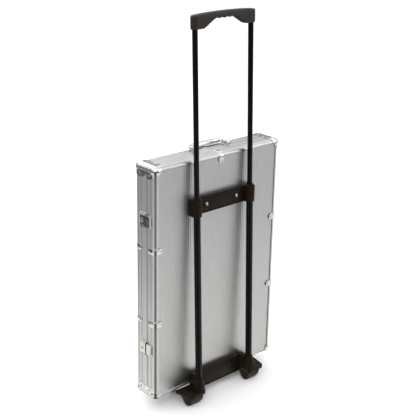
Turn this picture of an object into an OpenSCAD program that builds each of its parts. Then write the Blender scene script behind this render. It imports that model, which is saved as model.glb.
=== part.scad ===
// Poker chip case with a pull-along trolley.
// Frame: X to the right across the trolley side, Y into the case, Z up from the floor.
// The origin is under the middle of the whole object.

/* [Case] */
// Width of the case body, left to right
case_w = 379; // [372:1:386]
// Height of the case body
case_h = 565; // [558:1:575]
// Depth of the shallow half, which carries the trolley
lid_d = 27; // [26:1:30]
// Depth of the half that holds the chips
base_d = 42; // [40:1:46]
// Radius of the long rounded edges
edge_r = 10; // [9:0.5:10]
// Radius of the outline's corners, seen from the front
corner_r = 9; // [8:0.5:10]
// Width of the frame's lip on each big face
lip_w = 10.5; // [10:0.5:12]
// Thickness of that lip
lip_t = 1.6; // [1.2:0.1:2]
// Thickness of the frame's side walls
wall_t = 3; // [2.5:0.5:3.5]
// Thickness of the big panels
panel_t = 4; // [3:0.5:5]
// Gap between the two closed halves
seam = 0.5; // [0.4:0.1:0.8]

/* [Trolley] */
// Distance between the two trolley tubes
tube_pitch = 164; // [156:2:170]
// Distance of the tube axes from the face of the case, at the bracket
tube_off = 15.5; // [15:0.5:17]
// Angle that the tubes lean towards the case, going up
lean = 2.2; // [0:0.1:2.2]
// Outer diameter of the fixed tubes
outer_tube_d = 16; // [15:0.5:17]
// Outer diameter of the sliding tubes
inner_tube_d = 12; // [11.5:0.5:12.5]
// Height of the grip's top above the bottom of the case, pulled out
grip_top = 882.5; // [872:0.5:886]
// How far the grip slides down
slide_travel = 366; // [350:1:366]
// Radius of the wheels
wheel_r = 12.5; // [12:0.5:12.5]
// Width of the wheels
wheel_w = 33; // [30:1:34]

/* [Chip tray] */
// Rows of chips
chip_rows = 10; // [8:1:10]
// Distance from one row to the next
row_pitch = 41.5; // [41.2:0.1:42]
// Radius of a trough
trough_r = 20.5; // [20:0.1:20.5]
// Length of a trough, for one stack of fifty chips
trough_len = 168; // [160:1:170]

/* [Hidden] */
$fn = 48;
eps = 0.01;
far = 60;

// Heights and depths that follow from the driving sizes
case_d = lid_d + base_d;
ground_gap = 32;
wheel_y = -26;
wheel_z = wheel_r - ground_gap;
foot_reach = 48;
ball_out = 2;
front_y = (foot_reach - case_d - ball_out) / 2;
half_w = case_w / 2;
side_out = 6.5;

// Frame and panels
panel_in = 7.5;
mitre = 20;
groove_w = 1.6;
groove_t = 0.6;
lid_groove_y = 13;
base_groove_y = [46, 58];

// Chrome corners, edge clamps and rivets
cap_t = 1.2;
cap_reach = 28;
cap_centre = 20;
ball_r = 11.5;
strap_t = 0.9;
strap_w = 14;
strap_leg = 23;
rivet_r = 2.2;
rivet_t = 0.8;
rivet_in = 19;
clamp_z = [192, 371];
lid_clamp_x = 4;
cap_rivet_z = 20;

// Hinges on the right side
hinge_z = [case_h / 2 - 157, case_h / 2 + 157];
hinge_len = 60;
knuckles = 5;
knuckle_r = 3;
knuckle_out = side_out - knuckle_r;
leaf_t = 1;
leaf_w = 17;
hinge_pin_r = 1.3;
fit_gap = 0.05;
knuckle_gap = 0.3;

// Latches on the left side
latch_z = [case_h / 2 - 157, case_h / 2 + 157];
latch_half = 17;
latch_back = 22;
latch_plate_t = 1;
catch_reach = 18;
catch_half = 13;
cheek_t = 1.4;
lever_y = 18.5;
lever_out = 3.2;
hook_y = 6.5;
hook_reach = 16.5;
latch_pin_r = 1;
key_y = 12;
key_r = 3.2;

// Carry handle on the top
handle_x = 6;
handle_y = lid_d + 9;
handle_z = case_h + 7;
handle_half = 50;
handle_arm = 25;
handle_bar_r = 5.5;
handle_pin_r = 2;

// Trolley
tube_x = tube_pitch / 2;
tube_wall = 1.2;
outer_r = outer_tube_d / 2;
inner_r = inner_tube_d / 2;
bore_r = outer_r - tube_wall;
tube_foot_z = 2;
bracket_z = 436;
bracket_h = 40;
bracket_r = 11.5;
bracket_plate_y = 8;
bracket_screw_x = 46;
lean_z = bracket_z + bracket_h / 2;
tube_top = bracket_z + bracket_h + 0.5;
collar_h = 12;
collar_lip = 2;
collar_rim = 1;
stop_z = 46;
inner_foot_z = stop_z + slide_travel;
inner_wall = 1;
plug_h = 8;
grip_len = 183;
grip_d = 19;
grip_block_h = 31.5;
grip_bar_h = 14;
grip_crown = 4;
grip_z = grip_top - grip_block_h - grip_crown / 2;
grip_block_in = 29;
grip_slant = 33;
grip_chamfer = 1.5;
grip_shoulder = 4;
scallops = 4;
scallop_t = 1.6;
grip_socket = 20;
grip_screw_z = 13;
crossbar_t = 9;
crossbar_low = -12.4;
crossbar_top = 33.4;
base_screw_x = 40;
base_screw_z = 14;
socket_r = 10.4;
socket_foot_r = 15;
neck_past = 2;
socket_top = 36;
socket_y = tube_off + (lean_z - socket_top / 2) * tan(lean);
plate_low = -1;
plate_t = 4;
rim_h = 1.5;
rim_w = 2.5;
plate_in = 71;
plate_out = 127;
plate_front_out = 119;
plate_corner = 7;
skirt_h = 5;
gusset_t = 3;
gusset_drop = 3;
wheel_x = 94;
cheek_gap = 1;
cheek_w = 3;
cheek_r = 11;
cheek_back = 7;
cheek_x = wheel_w / 2 + cheek_gap + cheek_w / 2;
axle_r = 3;
hub_r = 8.5;
tyre_round = 3;

// Feet under the deep half
foot_x = 94.5;
foot_y = 52;
foot_pad_t = 3;

// Chip tray
tray_floor_t = 2;
tray_y = case_d - lip_t - panel_t - tray_floor_t;
ridge_h = 14;
rail_h = 22;
divider_t = 6;
rail_w = (case_w - 2 * wall_t - divider_t - 2 * trough_len) / 2;
tray_bottom = wall_t;
bottom_rail = 8;
rows_z = tray_bottom + bottom_rail;
rows_top = rows_z + chip_rows * row_pitch;
mid_rail = 8;
top_rail = 8;
tray_top = case_h - wall_t;
bay_divider_x = [-74, 22];
trough_flat = 12;
foam_t = 12;

// ---- Helpers -------------------------------------------------------------

// Puts a shape drawn from the case's front face and bottom into the object's frame
module at_case() {
    translate([0, front_y, ground_gap]) children();
}

// Mirrors the deep half's shapes, drawn from its far face, to their place
module from_back() {
    translate([0, case_d, 0]) mirror([0, 1, 0]) children();
}

module both_sides() {
    children();
    mirror([1, 0, 0]) children();
}

module rounded_rect(w, h, r) {
    translate([r, 0]) square([w - 2 * r, h]);
    translate([0, r]) square([w, h - 2 * r]);
    for (x = [r, w - r], y = [r, h - r]) translate([x, y]) circle(r);
}

// A quarter plane with its corner at the origin rounded by r, grown by g
module corner_2d(size, r, g) {
    translate([r, r]) circle(r + g);
    translate([-g, r]) square([size + g, size - r]);
    translate([r, -g]) square([size - r, size + g]);
}

// The same corner in three directions
module corner_3d(size, g) {
    intersection() {
        translate([0, 0, -g]) linear_extrude(size + g) corner_2d(size, edge_r, g);
        translate([-g, 0, 0]) rotate([90, 0, 90]) linear_extrude(size + g) corner_2d(size, edge_r, g);
        translate([0, size, 0]) rotate([90, 0, 0]) linear_extrude(size + g) corner_2d(size, corner_r, g);
    }
}

// The closed case as one block, with its long edges and outline corners rounded
module case_block() {
    intersection() {
        translate([-half_w, 0, 0]) linear_extrude(case_h) rounded_rect(case_w, case_d, edge_r);
        translate([-half_w, 0, 0]) rotate([90, 0, 90])
            linear_extrude(case_w) rounded_rect(case_d, case_h, edge_r);
        translate([-half_w, case_d, 0]) rotate([90, 0, 0])
            linear_extrude(case_d) rounded_rect(case_w, case_h, corner_r);
    }
}

// A box centred on X, inset by the same amount on all four sides of the outline
module outline_box(inset, y0, y1) {
    translate([-half_w + inset, y0, inset]) cube([case_w - 2 * inset, y1 - y0, case_h - 2 * inset]);
}

// Grooves that run round the case at depth y
module groove_ring(y) {
    difference() {
        outline_box(-1, y, y + groove_w);
        outline_box(groove_t, y - 1, y + groove_w + 1);
    }
}

// Outer region that belongs to one side of the frame, cut at the mitres
module side_region(side) {
    left = [[-half_w, 0], [-half_w + mitre, mitre], [-half_w + mitre, case_h - mitre], [-half_w, case_h]];
    top = [[-half_w, case_h], [-half_w + mitre, case_h - mitre], [half_w - mitre, case_h - mitre], [half_w, case_h]];
    translate([0, case_d + 1, 0]) rotate([90, 0, 0]) linear_extrude(case_d + 2) {
        if (side == "left") polygon(left);
        if (side == "right") mirror([1, 0]) polygon(left);
        if (side == "top") polygon(top);
        if (side == "bottom") translate([0, case_h]) mirror([0, 1]) polygon(top);
    }
}

// One side of a half's frame; depth is the half's depth from its own big face
module frame_side(side, depth, grooves) {
    intersection() {
        difference() {
            case_block();
            outline_box(-1, depth - seam / 2, case_d + 1);
            outline_box(lip_w, -1, lip_t + eps);
            outline_box(panel_in, lip_t, lip_t + panel_t + eps);
            outline_box(wall_t, lip_t + panel_t, case_d + 1);
            for (y = grooves) groove_ring(y);
        }
        side_region(side);
    }
}

module face_panel() {
    outline_box(panel_in, lip_t, lip_t + panel_t);
}

// A chrome corner with a ball and three riveted flanges, drawn at the origin corner
module corner_cap(depth) {
    difference() {
        union() {
            intersection() {
                corner_3d(40, cap_t);
                translate([0, cap_centre, 0]) sphere(cap_reach);
            }
            translate([1, 1, 1] * (ball_r - ball_out)) sphere(ball_r);
        }
        corner_3d(60, 0);
        translate([-far / 2, depth - seam / 2, -far / 2]) cube(far * 2);
    }
}

module four_corners(depth) {
    both_sides() for (top = [0, 1])
        translate([-half_w, 0, top * case_h]) mirror([0, 0, top]) corner_cap(depth);
}

// A strap bent round an edge, with its corner at the origin and its width along Z
module strap() {
    translate([0, 0, -strap_w / 2]) linear_extrude(strap_w) difference() {
        intersection() {
            corner_2d(strap_leg, edge_r, strap_t);
            translate([-strap_t, -strap_t]) square(strap_leg + strap_t);
        }
        corner_2d(far, edge_r, 0);
    }
}

module rivet() {
    cylinder(r = rivet_r, h = rivet_t, $fn = 24);
}

// Rivets at the two ends of a strap that is drawn like strap()
module strap_rivets() {
    translate([-strap_t, rivet_in, 0]) rotate([0, -90, 0]) rivet();
    translate([rivet_in, -strap_t, 0]) rotate([90, 0, 0]) rivet();
}

// Places a strap or its rivets on the left, right, top or bottom edge of a big face
module on_left(z) {
    translate([-half_w, 0, z]) children();
}

module on_right(z) {
    mirror([1, 0, 0]) on_left(z) children();
}

module on_top(x) {
    translate([x, 0, case_h]) rotate([0, 90, 0]) children();
}

module on_bottom(x) {
    translate([x, 0, 0]) rotate([0, -90, 0]) children();
}

module side_clamp_places() {
    for (z = clamp_z) {
        on_left(z) children();
        on_right(z) children();
    }
}

module lid_clamp_places() {
    side_clamp_places() children();
    on_top(lid_clamp_x) children();
}

module base_clamp_places() {
    side_clamp_places() children();
    on_top(0) children();
    on_bottom(0) children();
}

// Rivets on the side and top flanges of the corner caps, at depth y
module cap_rivets(y) {
    both_sides() for (top = [0, 1]) translate([-half_w, 0, top * case_h]) mirror([0, 0, top]) {
        translate([-cap_t, y, cap_rivet_z]) rotate([0, -90, 0]) rivet();
        translate([cap_rivet_z, y, -cap_t]) rotate([180, 0, 0]) rivet();
    }
}

// Pan head screw with its head standing out along -Y
module pan_screw(r) {
    rotate([90, 0, 0]) {
        cylinder(r = r, h = r * 0.5, $fn = 32);
        translate([0, 0, r * 0.5]) cylinder(r1 = r, r2 = r * 0.7, h = r * 0.25, $fn = 32);
    }
}

// ---- Shallow half --------------------------------------------------------

module lid_panel() {
    color([0.68, 0.69, 0.70]) at_case() face_panel();
}

module lid_frame(side) {
    color([0.78, 0.79, 0.80]) at_case() frame_side(side, lid_d, [lid_groove_y]);
}

module lid_corners() {
    color([0.85, 0.85, 0.85]) at_case() four_corners(lid_d);
}

module lid_edge_clamps() {
    color([0.82, 0.82, 0.82]) at_case() lid_clamp_places() strap();
}

module lid_rivets() {
    color([0.6, 0.6, 0.58]) at_case() {
        lid_clamp_places() strap_rivets();
        cap_rivets(lid_groove_y + groove_w + 4);
    }
}

module lid_foam() {
    color([0.12, 0.12, 0.13]) at_case()
        outline_box(wall_t + 0.5, lip_t + panel_t, lip_t + panel_t + foam_t);
}

// ---- Hinges --------------------------------------------------------------

// Start of knuckle k along the hinge
function knuckle_start(k) = k * hinge_len / knuckles;

// One leaf with its knuckles; first is 0 for the even knuckles and 1 for the odd ones
module hinge_leaf(first, dir) {
    step = hinge_len / knuckles;
    difference() {
        union() {
            translate([half_w, dir > 0 ? lid_d + seam / 2 : lid_d - seam / 2 - leaf_w, 0])
                cube([leaf_t, leaf_w, hinge_len]);
            for (k = [first : 2 : knuckles - 1]) translate([0, lid_d, knuckle_start(k)]) {
                translate([half_w + knuckle_out, 0, knuckle_gap / 2])
                    cylinder(r = knuckle_r, h = step - knuckle_gap);
                translate([half_w + eps, dir > 0 ? seam / 2 : -knuckle_r, knuckle_gap / 2])
                    cube([knuckle_out, knuckle_r - seam / 2, step - knuckle_gap]);
            }
        }
        for (k = [1 - first : 2 : knuckles - 1])
            translate([half_w - 1, lid_d - knuckle_r - 0.5, knuckle_start(k) - knuckle_gap / 2])
                cube([far, 2 * knuckle_r + 1, step + knuckle_gap]);
        translate([half_w + knuckle_out, lid_d, -1])
            cylinder(r = hinge_pin_r + (dir > 0 ? fit_gap : 0), h = hinge_len + 2, $fn = 32);
    }
}

module at_hinges() {
    for (z = hinge_z) translate([0, 0, z - hinge_len / 2]) children();
}

module hinge_leaves_lid() {
    color([0.75, 0.75, 0.75]) at_case() at_hinges() hinge_leaf(0, -1);
}

module hinge_leaves_base() {
    color([0.75, 0.75, 0.75]) at_case() at_hinges() hinge_leaf(1, 1);
}

module hinge_pins() {
    color([0.7, 0.7, 0.7]) at_case() at_hinges()
        translate([half_w + knuckle_out, lid_d, 0]) cylinder(r = hinge_pin_r, h = hinge_len, $fn = 32);
}

// ---- Latches -------------------------------------------------------------

// Latch shapes are drawn with X outwards from the left side, Y from the seam
// into the deep half and Z along the case, then turned to the left side
module at_latch(z) {
    translate([-half_w, lid_d, z]) mirror([1, 0, 0]) children();
}

module latch_catches() {
    color([0.8, 0.8, 0.8]) at_case() for (z = latch_z) at_latch(z) {
        translate([0, -catch_reach, -catch_half])
            cube([latch_plate_t, catch_reach - 1, 2 * catch_half]);
        translate([0, -catch_reach + 2.5, -catch_half + 3]) cube([2, 2.5, 2 * catch_half - 6]);
    }
}

module latch_bodies() {
    color([0.8, 0.8, 0.8]) at_case() for (z = latch_z) at_latch(z) difference() {
        translate([0, 1, -latch_half]) cube([5.4, latch_back - 1, 2 * latch_half]);
        translate([latch_plate_t, 0, -latch_half + cheek_t])
            cube([far, latch_back + 1, 2 * (latch_half - cheek_t)]);
        translate([lever_out, lever_y, -far]) cylinder(r = latch_pin_r, h = 2 * far, $fn = 24);
    }
}

// The pins that the levers turn on
module latch_pins() {
    color([0.7, 0.7, 0.7]) at_case() for (z = latch_z) at_latch(z)
        translate([lever_out, lever_y, -latch_half]) cylinder(r = latch_pin_r, h = 2 * latch_half, $fn = 24);
}

module lever(z) {
    inner = latch_half - cheek_t - 0.3;
    color([0.72, 0.72, 0.72]) at_case() at_latch(z) difference() {
        union() {
            translate([4.4, 1.4, -inner]) cube([1.6, lever_y + 0.5, 2 * inner]);
            for (s = [-1, 1]) translate([0, 0, s * (inner - 1)]) {
                translate([lever_out, lever_y, -1]) cylinder(r = 1.9, h = 2, $fn = 32);
                translate([lever_out, lever_y - 1.9, -1]) cube([1.4, 3.8, 2]);
                translate([lever_out, hook_y, -1]) cylinder(r = 1.7, h = 2, $fn = 32);
                translate([lever_out, hook_y - 1.7, -1]) cube([2, 3.4, 2]);
            }
        }
        translate([lever_out, lever_y, -far])
            cylinder(r = latch_pin_r + fit_gap, h = 2 * far, $fn = 24);
        translate([lever_out, hook_y, -far])
            cylinder(r = latch_pin_r + fit_gap, h = 2 * far, $fn = 24);
        translate([0, key_y, 0]) rotate([0, 90, 0]) cylinder(r = key_r + fit_gap, h = far);
    }
}

module hook(z) {
    inner = latch_half - cheek_t - 2.8;
    color([0.8, 0.8, 0.8]) at_case() at_latch(z) {
        translate([lever_out, hook_y, -inner]) cylinder(r = 1.15, h = 2 * inner, $fn = 24);
        translate([lever_out, hook_y, -inner - 1.9]) cylinder(r = latch_pin_r, h = 2 * (inner + 1.9), $fn = 24);
        translate([2.4, -hook_reach, -inner]) cube([1.6, hook_reach + hook_y, 2 * inner]);
    }
}

module key_cylinder(z) {
    color([0.75, 0.62, 0.3]) at_case() at_latch(z) translate([0, key_y, 0]) rotate([0, 90, 0])
        difference() {
            translate([0, 0, 2]) cylinder(r = key_r, h = side_out - 2);
            translate([-0.5, -2, side_out - 0.8]) cube([1, 4, 2]);
        }
}

// ---- Deep half -----------------------------------------------------------

module base_panel() {
    color([0.68, 0.69, 0.70]) at_case() from_back() face_panel();
}

module base_frame(side) {
    grooves = [for (y = base_groove_y) case_d - y - groove_w];
    color([0.78, 0.79, 0.80]) at_case() from_back() frame_side(side, base_d, grooves);
}

module base_corners() {
    color([0.85, 0.85, 0.85]) at_case() from_back() four_corners(base_d);
}

module base_edge_clamps() {
    color([0.82, 0.82, 0.82]) at_case() from_back() base_clamp_places() strap();
}

module base_rivets() {
    color([0.6, 0.6, 0.58]) at_case() from_back() {
        base_clamp_places() strap_rivets();
        cap_rivets(rivet_in);
    }
}

module tray_floor() {
    color([0.1, 0.1, 0.11]) at_case() outline_box(wall_t, tray_y, tray_y + tray_floor_t);
}

module tray_rail(x0, x1, z0, z1) {
    translate([x0, tray_y - rail_h, z0]) cube([x1 - x0, rail_h, z1 - z0]);
}

module tray_side_rails() {
    color([0.1, 0.1, 0.11]) at_case() both_sides()
        tray_rail(-half_w + wall_t, -half_w + wall_t + rail_w, tray_bottom, tray_top);
}

module tray_cross_rails() {
    inner = half_w - wall_t - rail_w;
    color([0.1, 0.1, 0.11]) at_case() {
        tray_rail(-inner, inner, tray_bottom, rows_z);
        tray_rail(-inner, inner, rows_top, rows_top + mid_rail);
        tray_rail(-inner, inner, tray_top - top_rail, tray_top);
    }
}

module tray_dividers() {
    color([0.1, 0.1, 0.11]) at_case() {
        tray_rail(-divider_t / 2, divider_t / 2, rows_z, rows_top);
        for (x = bay_divider_x) tray_rail(x, x + divider_t, rows_top + mid_rail, tray_top - top_rail);
    }
}

// Cross-section of the ridge between two troughs, cut off at the ends of the rows
module ridge_profile(k) {
    half = row_pitch / 2 - trough_flat / 2;
    intersection() {
        difference() {
            translate([-half, 0]) square([2 * half, ridge_h]);
            for (s = [-1, 1]) translate([s * row_pitch / 2, trough_r]) circle(trough_r, $fn = 64);
        }
        translate([k == 0 ? 0 : -far, -1]) square([k == 0 || k == chip_rows ? far : 2 * far, far]);
    }
}

module tray_ridges() {
    color([0.1, 0.1, 0.11]) at_case() for (k = [0 : chip_rows], s = [0, 1]) mirror([s, 0, 0])
        translate([divider_t / 2, tray_y, rows_z + k * row_pitch])
            rotate([90, 0, 90]) linear_extrude(trough_len) rotate(90) ridge_profile(k);
}

module stand_feet() {
    color([0.1, 0.09, 0.08]) at_case() both_sides() translate([foot_x, foot_y, 0]) mirror([0, 0, 1]) {
        translate([-17, -13, 0]) linear_extrude(4) rounded_rect(34, 26, 5);
        translate([0, 0, 4 - eps]) cylinder(r1 = 12, r2 = 9, h = ground_gap - foot_pad_t - 4 + eps);
    }
}

module foot_pads() {
    color([0.06, 0.06, 0.06]) at_case() both_sides() translate([foot_x, foot_y, -ground_gap])
        cylinder(r = 10, h = foot_pad_t);
}

// ---- Carry handle --------------------------------------------------------

module handle_brackets() {
    color([0.75, 0.75, 0.75]) at_case() for (s = [-1, 1]) translate([handle_x + s * handle_half, 0, 0])
        difference() {
            union() {
                translate([-9, handle_y - 8, case_h]) cube([18, 16, 1.5]);
                for (e = [-1, 1]) translate([e * 5 - 1.25, handle_y - 5, case_h]) {
                    cube([2.5, 10, handle_z - case_h]);
                    translate([0, 5, handle_z - case_h]) rotate([0, 90, 0]) cylinder(r = 5, h = 2.5);
                }
            }
            translate([-far / 2, handle_y, handle_z]) rotate([0, 90, 0])
                cylinder(r = handle_pin_r, h = far, $fn = 32);
        }
}

module handle_pins() {
    color([0.7, 0.7, 0.7]) at_case() for (s = [-1, 1])
        translate([handle_x + s * handle_half - 6.25, handle_y, handle_z]) rotate([0, 90, 0])
            cylinder(r = handle_pin_r, h = 12.5, $fn = 32);
}

module carry_handle() {
    arm_w = 6.6;
    color([0.8, 0.8, 0.8]) at_case() translate([handle_x, handle_y, handle_z]) difference() {
        union() {
            for (s = [-1, 1]) translate([s * handle_half - arm_w / 2, 0, 0]) {
                rotate([0, 90, 0]) cylinder(r = 4.5, h = arm_w);
                translate([0, 0, -4.5]) cube([arm_w, handle_arm, 9]);
            }
            translate([-handle_half - arm_w / 2, handle_arm, 0]) rotate([0, 90, 0])
                cylinder(r = handle_bar_r, h = 2 * handle_half + arm_w);
        }
        translate([-far * 2, 0, 0]) rotate([0, 90, 0])
            cylinder(r = handle_pin_r + fit_gap, h = far * 4, $fn = 32);
    }
}

// ---- Trolley -------------------------------------------------------------

module bracket_outline() {
    for (s = [-1, 1]) translate([s * tube_x, -tube_off]) {
        circle(bracket_r);
        translate([-bracket_r, 0]) square([2 * bracket_r, tube_off]);
    }
    translate([-tube_x, -bracket_plate_y]) square([2 * tube_x, bracket_plate_y]);
}

// Leans a shape drawn upright with the tubes, about the middle of the bracket
module leaning() {
    translate([0, -tube_off, lean_z]) rotate([-lean, 0, 0]) translate([0, tube_off, -lean_z]) children();
}

module tube_places() {
    leaning() for (s = [-1, 1]) translate([s * tube_x, -tube_off, 0]) children();
}

module trolley_bracket() {
    color([0.11, 0.09, 0.08]) at_case() difference() {
        translate([0, 0, bracket_z]) linear_extrude(bracket_h) bracket_outline();
        tube_places() translate([0, 0, bracket_z - 1]) cylinder(r = outer_r, h = bracket_h + 2);
    }
}

module bracket_screws() {
    color([0.8, 0.8, 0.8]) at_case() for (s = [-1, 1])
        translate([s * bracket_screw_x, -bracket_plate_y, bracket_z + bracket_h / 2]) pan_screw(4);
}

module outer_tube(s) {
    color([0.05, 0.05, 0.05]) at_case() leaning() translate([s * tube_x, -tube_off, tube_foot_z])
        difference() {
            cylinder(r = outer_r, h = tube_top - tube_foot_z);
            translate([0, 0, -1]) cylinder(r = bore_r, h = tube_top);
        }
}

module tube_collars() {
    color([0.1, 0.1, 0.1]) at_case() tube_places() translate([0, 0, tube_top]) difference() {
        union() {
            translate([0, 0, -collar_h]) cylinder(r = bore_r, h = collar_h);
            cylinder(r = outer_r + collar_rim, h = collar_lip);
        }
        translate([0, 0, -far]) cylinder(r = inner_r + fit_gap, h = 2 * far);
    }
}

module inner_tube(s) {
    length = grip_z + grip_socket - inner_foot_z;
    color([0.05, 0.05, 0.05]) at_case() leaning() translate([s * tube_x, -tube_off, inner_foot_z])
        difference() {
            cylinder(r = inner_r, h = length);
            translate([0, 0, -1]) cylinder(r = inner_r - inner_wall, h = length + 2);
        }
}

module tube_end_plugs() {
    color([0.2, 0.2, 0.2]) at_case() tube_places() translate([0, 0, inner_foot_z]) {
        translate([0, 0, -plug_h]) cylinder(r = bore_r - fit_gap, h = plug_h);
        cylinder(r = inner_r - inner_wall, h = plug_h);
    }
}

// Underside of the grip between its end blocks, as finger scallops
function scallop_z(x, half) = scallop_t * abs(sin(180 * scallops * (x + half) / (2 * half)));

module grip_outline() {
    half = grip_len / 2;
    inner = half - grip_block_in - grip_slant;
    shoulder_z = grip_block_h - grip_shoulder;
    bar_z = grip_block_h - grip_bar_h;
    end = half - 2;
    crown = [for (i = [0 : 12]) let (x = end * (1 - i / 6))
        [x, grip_block_h + grip_crown * (1 - pow(x / half, 2)) - grip_crown / 2]];
    under = [for (i = [0 : 32]) let (x = inner * (i / 16 - 1)) [x, bar_z + scallop_z(x, inner)]];
    foot = [[half - grip_block_in, 0], [half - grip_chamfer, 0], [half, grip_chamfer], [half, shoulder_z]];
    mirrored = [for (i = [3 : -1 : 0]) [-foot[i][0], foot[i][1]]];
    polygon(concat(mirrored, under, foot, crown));
}

module trolley_grip() {
    color([0.13, 0.11, 0.1]) at_case() leaning() translate([0, -tube_off, grip_z]) difference() {
        intersection() {
            translate([0, grip_d / 2, 0]) rotate([90, 0, 0]) linear_extrude(grip_d) grip_outline();
            translate([-grip_len / 2, -grip_d / 2, -1]) linear_extrude(far)
                rounded_rect(grip_len, grip_d, grip_d / 2 - eps);
        }
        for (s = [-1, 1]) {
            translate([s * tube_x, 0, -1]) cylinder(r = inner_r, h = grip_socket + 1);
            translate([s * (grip_len / 2 - grip_chamfer), 0, grip_screw_z]) rotate([0, s * 90, 0])
                cylinder(r = 2.6, h = 5, $fn = 24);
        }
    }
}

module grip_screws() {
    color([0.15, 0.15, 0.15]) at_case() leaning() both_sides()
        translate([grip_len / 2 - grip_chamfer, -tube_off, grip_z + grip_screw_z]) rotate([0, 90, 0])
            cylinder(r = 2.2, h = 1, $fn = 24);
}

// Outline of a foot's plate for the right side, seen from above
module plate_outline() {
    c = plate_corner;
    intersection() {
        polygon([[plate_in, 0], [plate_in, -foot_reach], [plate_front_out - c, -foot_reach],
            [plate_front_out, -foot_reach + c], [plate_out, 0]]);
        translate([plate_in, -foot_reach]) rounded_rect(2 * foot_reach, 2 * foot_reach, c);
    }
}

// Side view of a wheel cheek, with Y to the right and Z up
module cheek_outline() {
    hull() {
        translate([wheel_y, wheel_z]) circle(cheek_r, $fn = 32);
        polygon([[-foot_reach + cheek_back, 0], [0, 0], [0, -cheek_back]]);
    }
    translate([-foot_reach, -skirt_h]) square([foot_reach, skirt_h]);
}

// One foot of the trolley, drawn for the right side
module trolley_foot() {
    translate([0, 0, plate_low]) linear_extrude(plate_t) plate_outline();
    translate([0, 0, plate_low]) linear_extrude(plate_t + rim_h) difference() {
        plate_outline();
        translate([0, rim_w]) offset(delta = -rim_w) plate_outline();
    }
    translate([tube_x, -socket_y, plate_low])
        cylinder(r1 = socket_foot_r, r2 = socket_r, h = socket_top - plate_low);
    translate([plate_in, -socket_y, plate_low])
        cube([tube_x + neck_past - plate_in, socket_y, socket_top - plate_low]);
    translate([plate_in, -2 * crossbar_t, crossbar_low])
        cube([cheek_w, 2 * crossbar_t, socket_top - crossbar_low]);
    translate([tube_x - gusset_t / 2, 0, plate_low]) rotate([90, 0, 90]) linear_extrude(gusset_t)
        polygon([[-socket_y, 0], [-foot_reach + rim_w, 0], [-foot_reach + rim_w, plate_t + rim_h],
            [-socket_y - socket_r, socket_top - gusset_drop], [-socket_y, socket_top - gusset_drop]]);
    for (s = [-1, 1]) translate([wheel_x + s * cheek_x - cheek_w / 2, 0, 0])
        rotate([90, 0, 90]) linear_extrude(cheek_w) cheek_outline();
}

module trolley_base() {
    color([0.11, 0.09, 0.08]) at_case() difference() {
        union() {
            translate([-tube_x, -crossbar_t, crossbar_low])
                cube([2 * tube_x, crossbar_t, crossbar_top - crossbar_low]);
            both_sides() trolley_foot();
        }
        tube_places() translate([0, 0, tube_foot_z]) cylinder(r = outer_r, h = far);
        both_sides() translate([wheel_x - far / 2, wheel_y, wheel_z]) rotate([0, 90, 0])
            cylinder(r = axle_r, h = far);
    }
}

module trolley_base_screws() {
    color([0.1, 0.1, 0.1]) at_case() for (s = [-1, 1])
        translate([s * base_screw_x, -crossbar_t, base_screw_z]) pan_screw(4);
}

module wheel_axles() {
    color([0.6, 0.6, 0.6]) at_case() both_sides()
        translate([wheel_x, wheel_y, wheel_z]) rotate([0, 90, 0])
            cylinder(r = axle_r, h = 2 * cheek_x + cheek_w, center = true);
}

module wheel_hub(s) {
    color([0.15, 0.15, 0.15]) at_case() translate([s * wheel_x, wheel_y, wheel_z])
        rotate([0, 90, 0]) difference() {
            cylinder(r = hub_r, h = wheel_w - 1, center = true);
            cylinder(r = axle_r + fit_gap, h = far, center = true);
        }
}

module wheel_tyre(s) {
    color([0.07, 0.06, 0.06]) at_case() translate([s * wheel_x, wheel_y, wheel_z])
        rotate([0, 90, 0]) rotate_extrude($fn = 64) difference() {
            translate([0, -wheel_w / 2]) rounded_rect(wheel_r, wheel_w, tyre_round);
            translate([-1, -wheel_w]) square([hub_r + 1, 2 * wheel_w]);
        }
}

lid_panel();
lid_frame("left");  // lid_frame_left
lid_frame("right");  // lid_frame_right
lid_frame("top");  // lid_frame_top
lid_frame("bottom");  // lid_frame_bottom
lid_corners();
lid_edge_clamps();
lid_rivets();
lid_foam();
hinge_leaves_lid();
hinge_pins();
latch_catches();
trolley_bracket();
bracket_screws();
outer_tube(-1);  // outer_tube_left
outer_tube(1);  // outer_tube_right
tube_collars();
trolley_base();
trolley_base_screws();
wheel_axles();
wheel_hub(-1);  // wheel_hub_left
wheel_tyre(-1);  // wheel_tyre_left
wheel_hub(1);  // wheel_hub_right
wheel_tyre(1);  // wheel_tyre_right
inner_tube(-1);  // inner_tube_left
inner_tube(1);  // inner_tube_right
tube_end_plugs();
trolley_grip();
grip_screws();
base_panel();
base_frame("left");  // base_frame_left
base_frame("right");  // base_frame_right
base_frame("top");  // base_frame_top
base_frame("bottom");  // base_frame_bottom
base_corners();
base_edge_clamps();
base_rivets();
tray_floor();
tray_side_rails();
tray_cross_rails();
tray_dividers();
tray_ridges();
hinge_leaves_base();
stand_feet();
foot_pads();
latch_bodies();
latch_pins();
lever(latch_z[1]);  // lever_upper
hook(latch_z[1]);  // hook_upper
key_cylinder(latch_z[1]);  // key_cylinder_upper
lever(latch_z[0]);  // lever_lower
hook(latch_z[0]);  // hook_lower
key_cylinder(latch_z[0]);  // key_cylinder_lower
handle_brackets();
handle_pins();
carry_handle();
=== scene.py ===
"""Looks for the poker chip case with a pull trolley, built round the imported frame."""

import math

import bmesh
import bpy
from mathutils import Matrix, Vector


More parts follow.
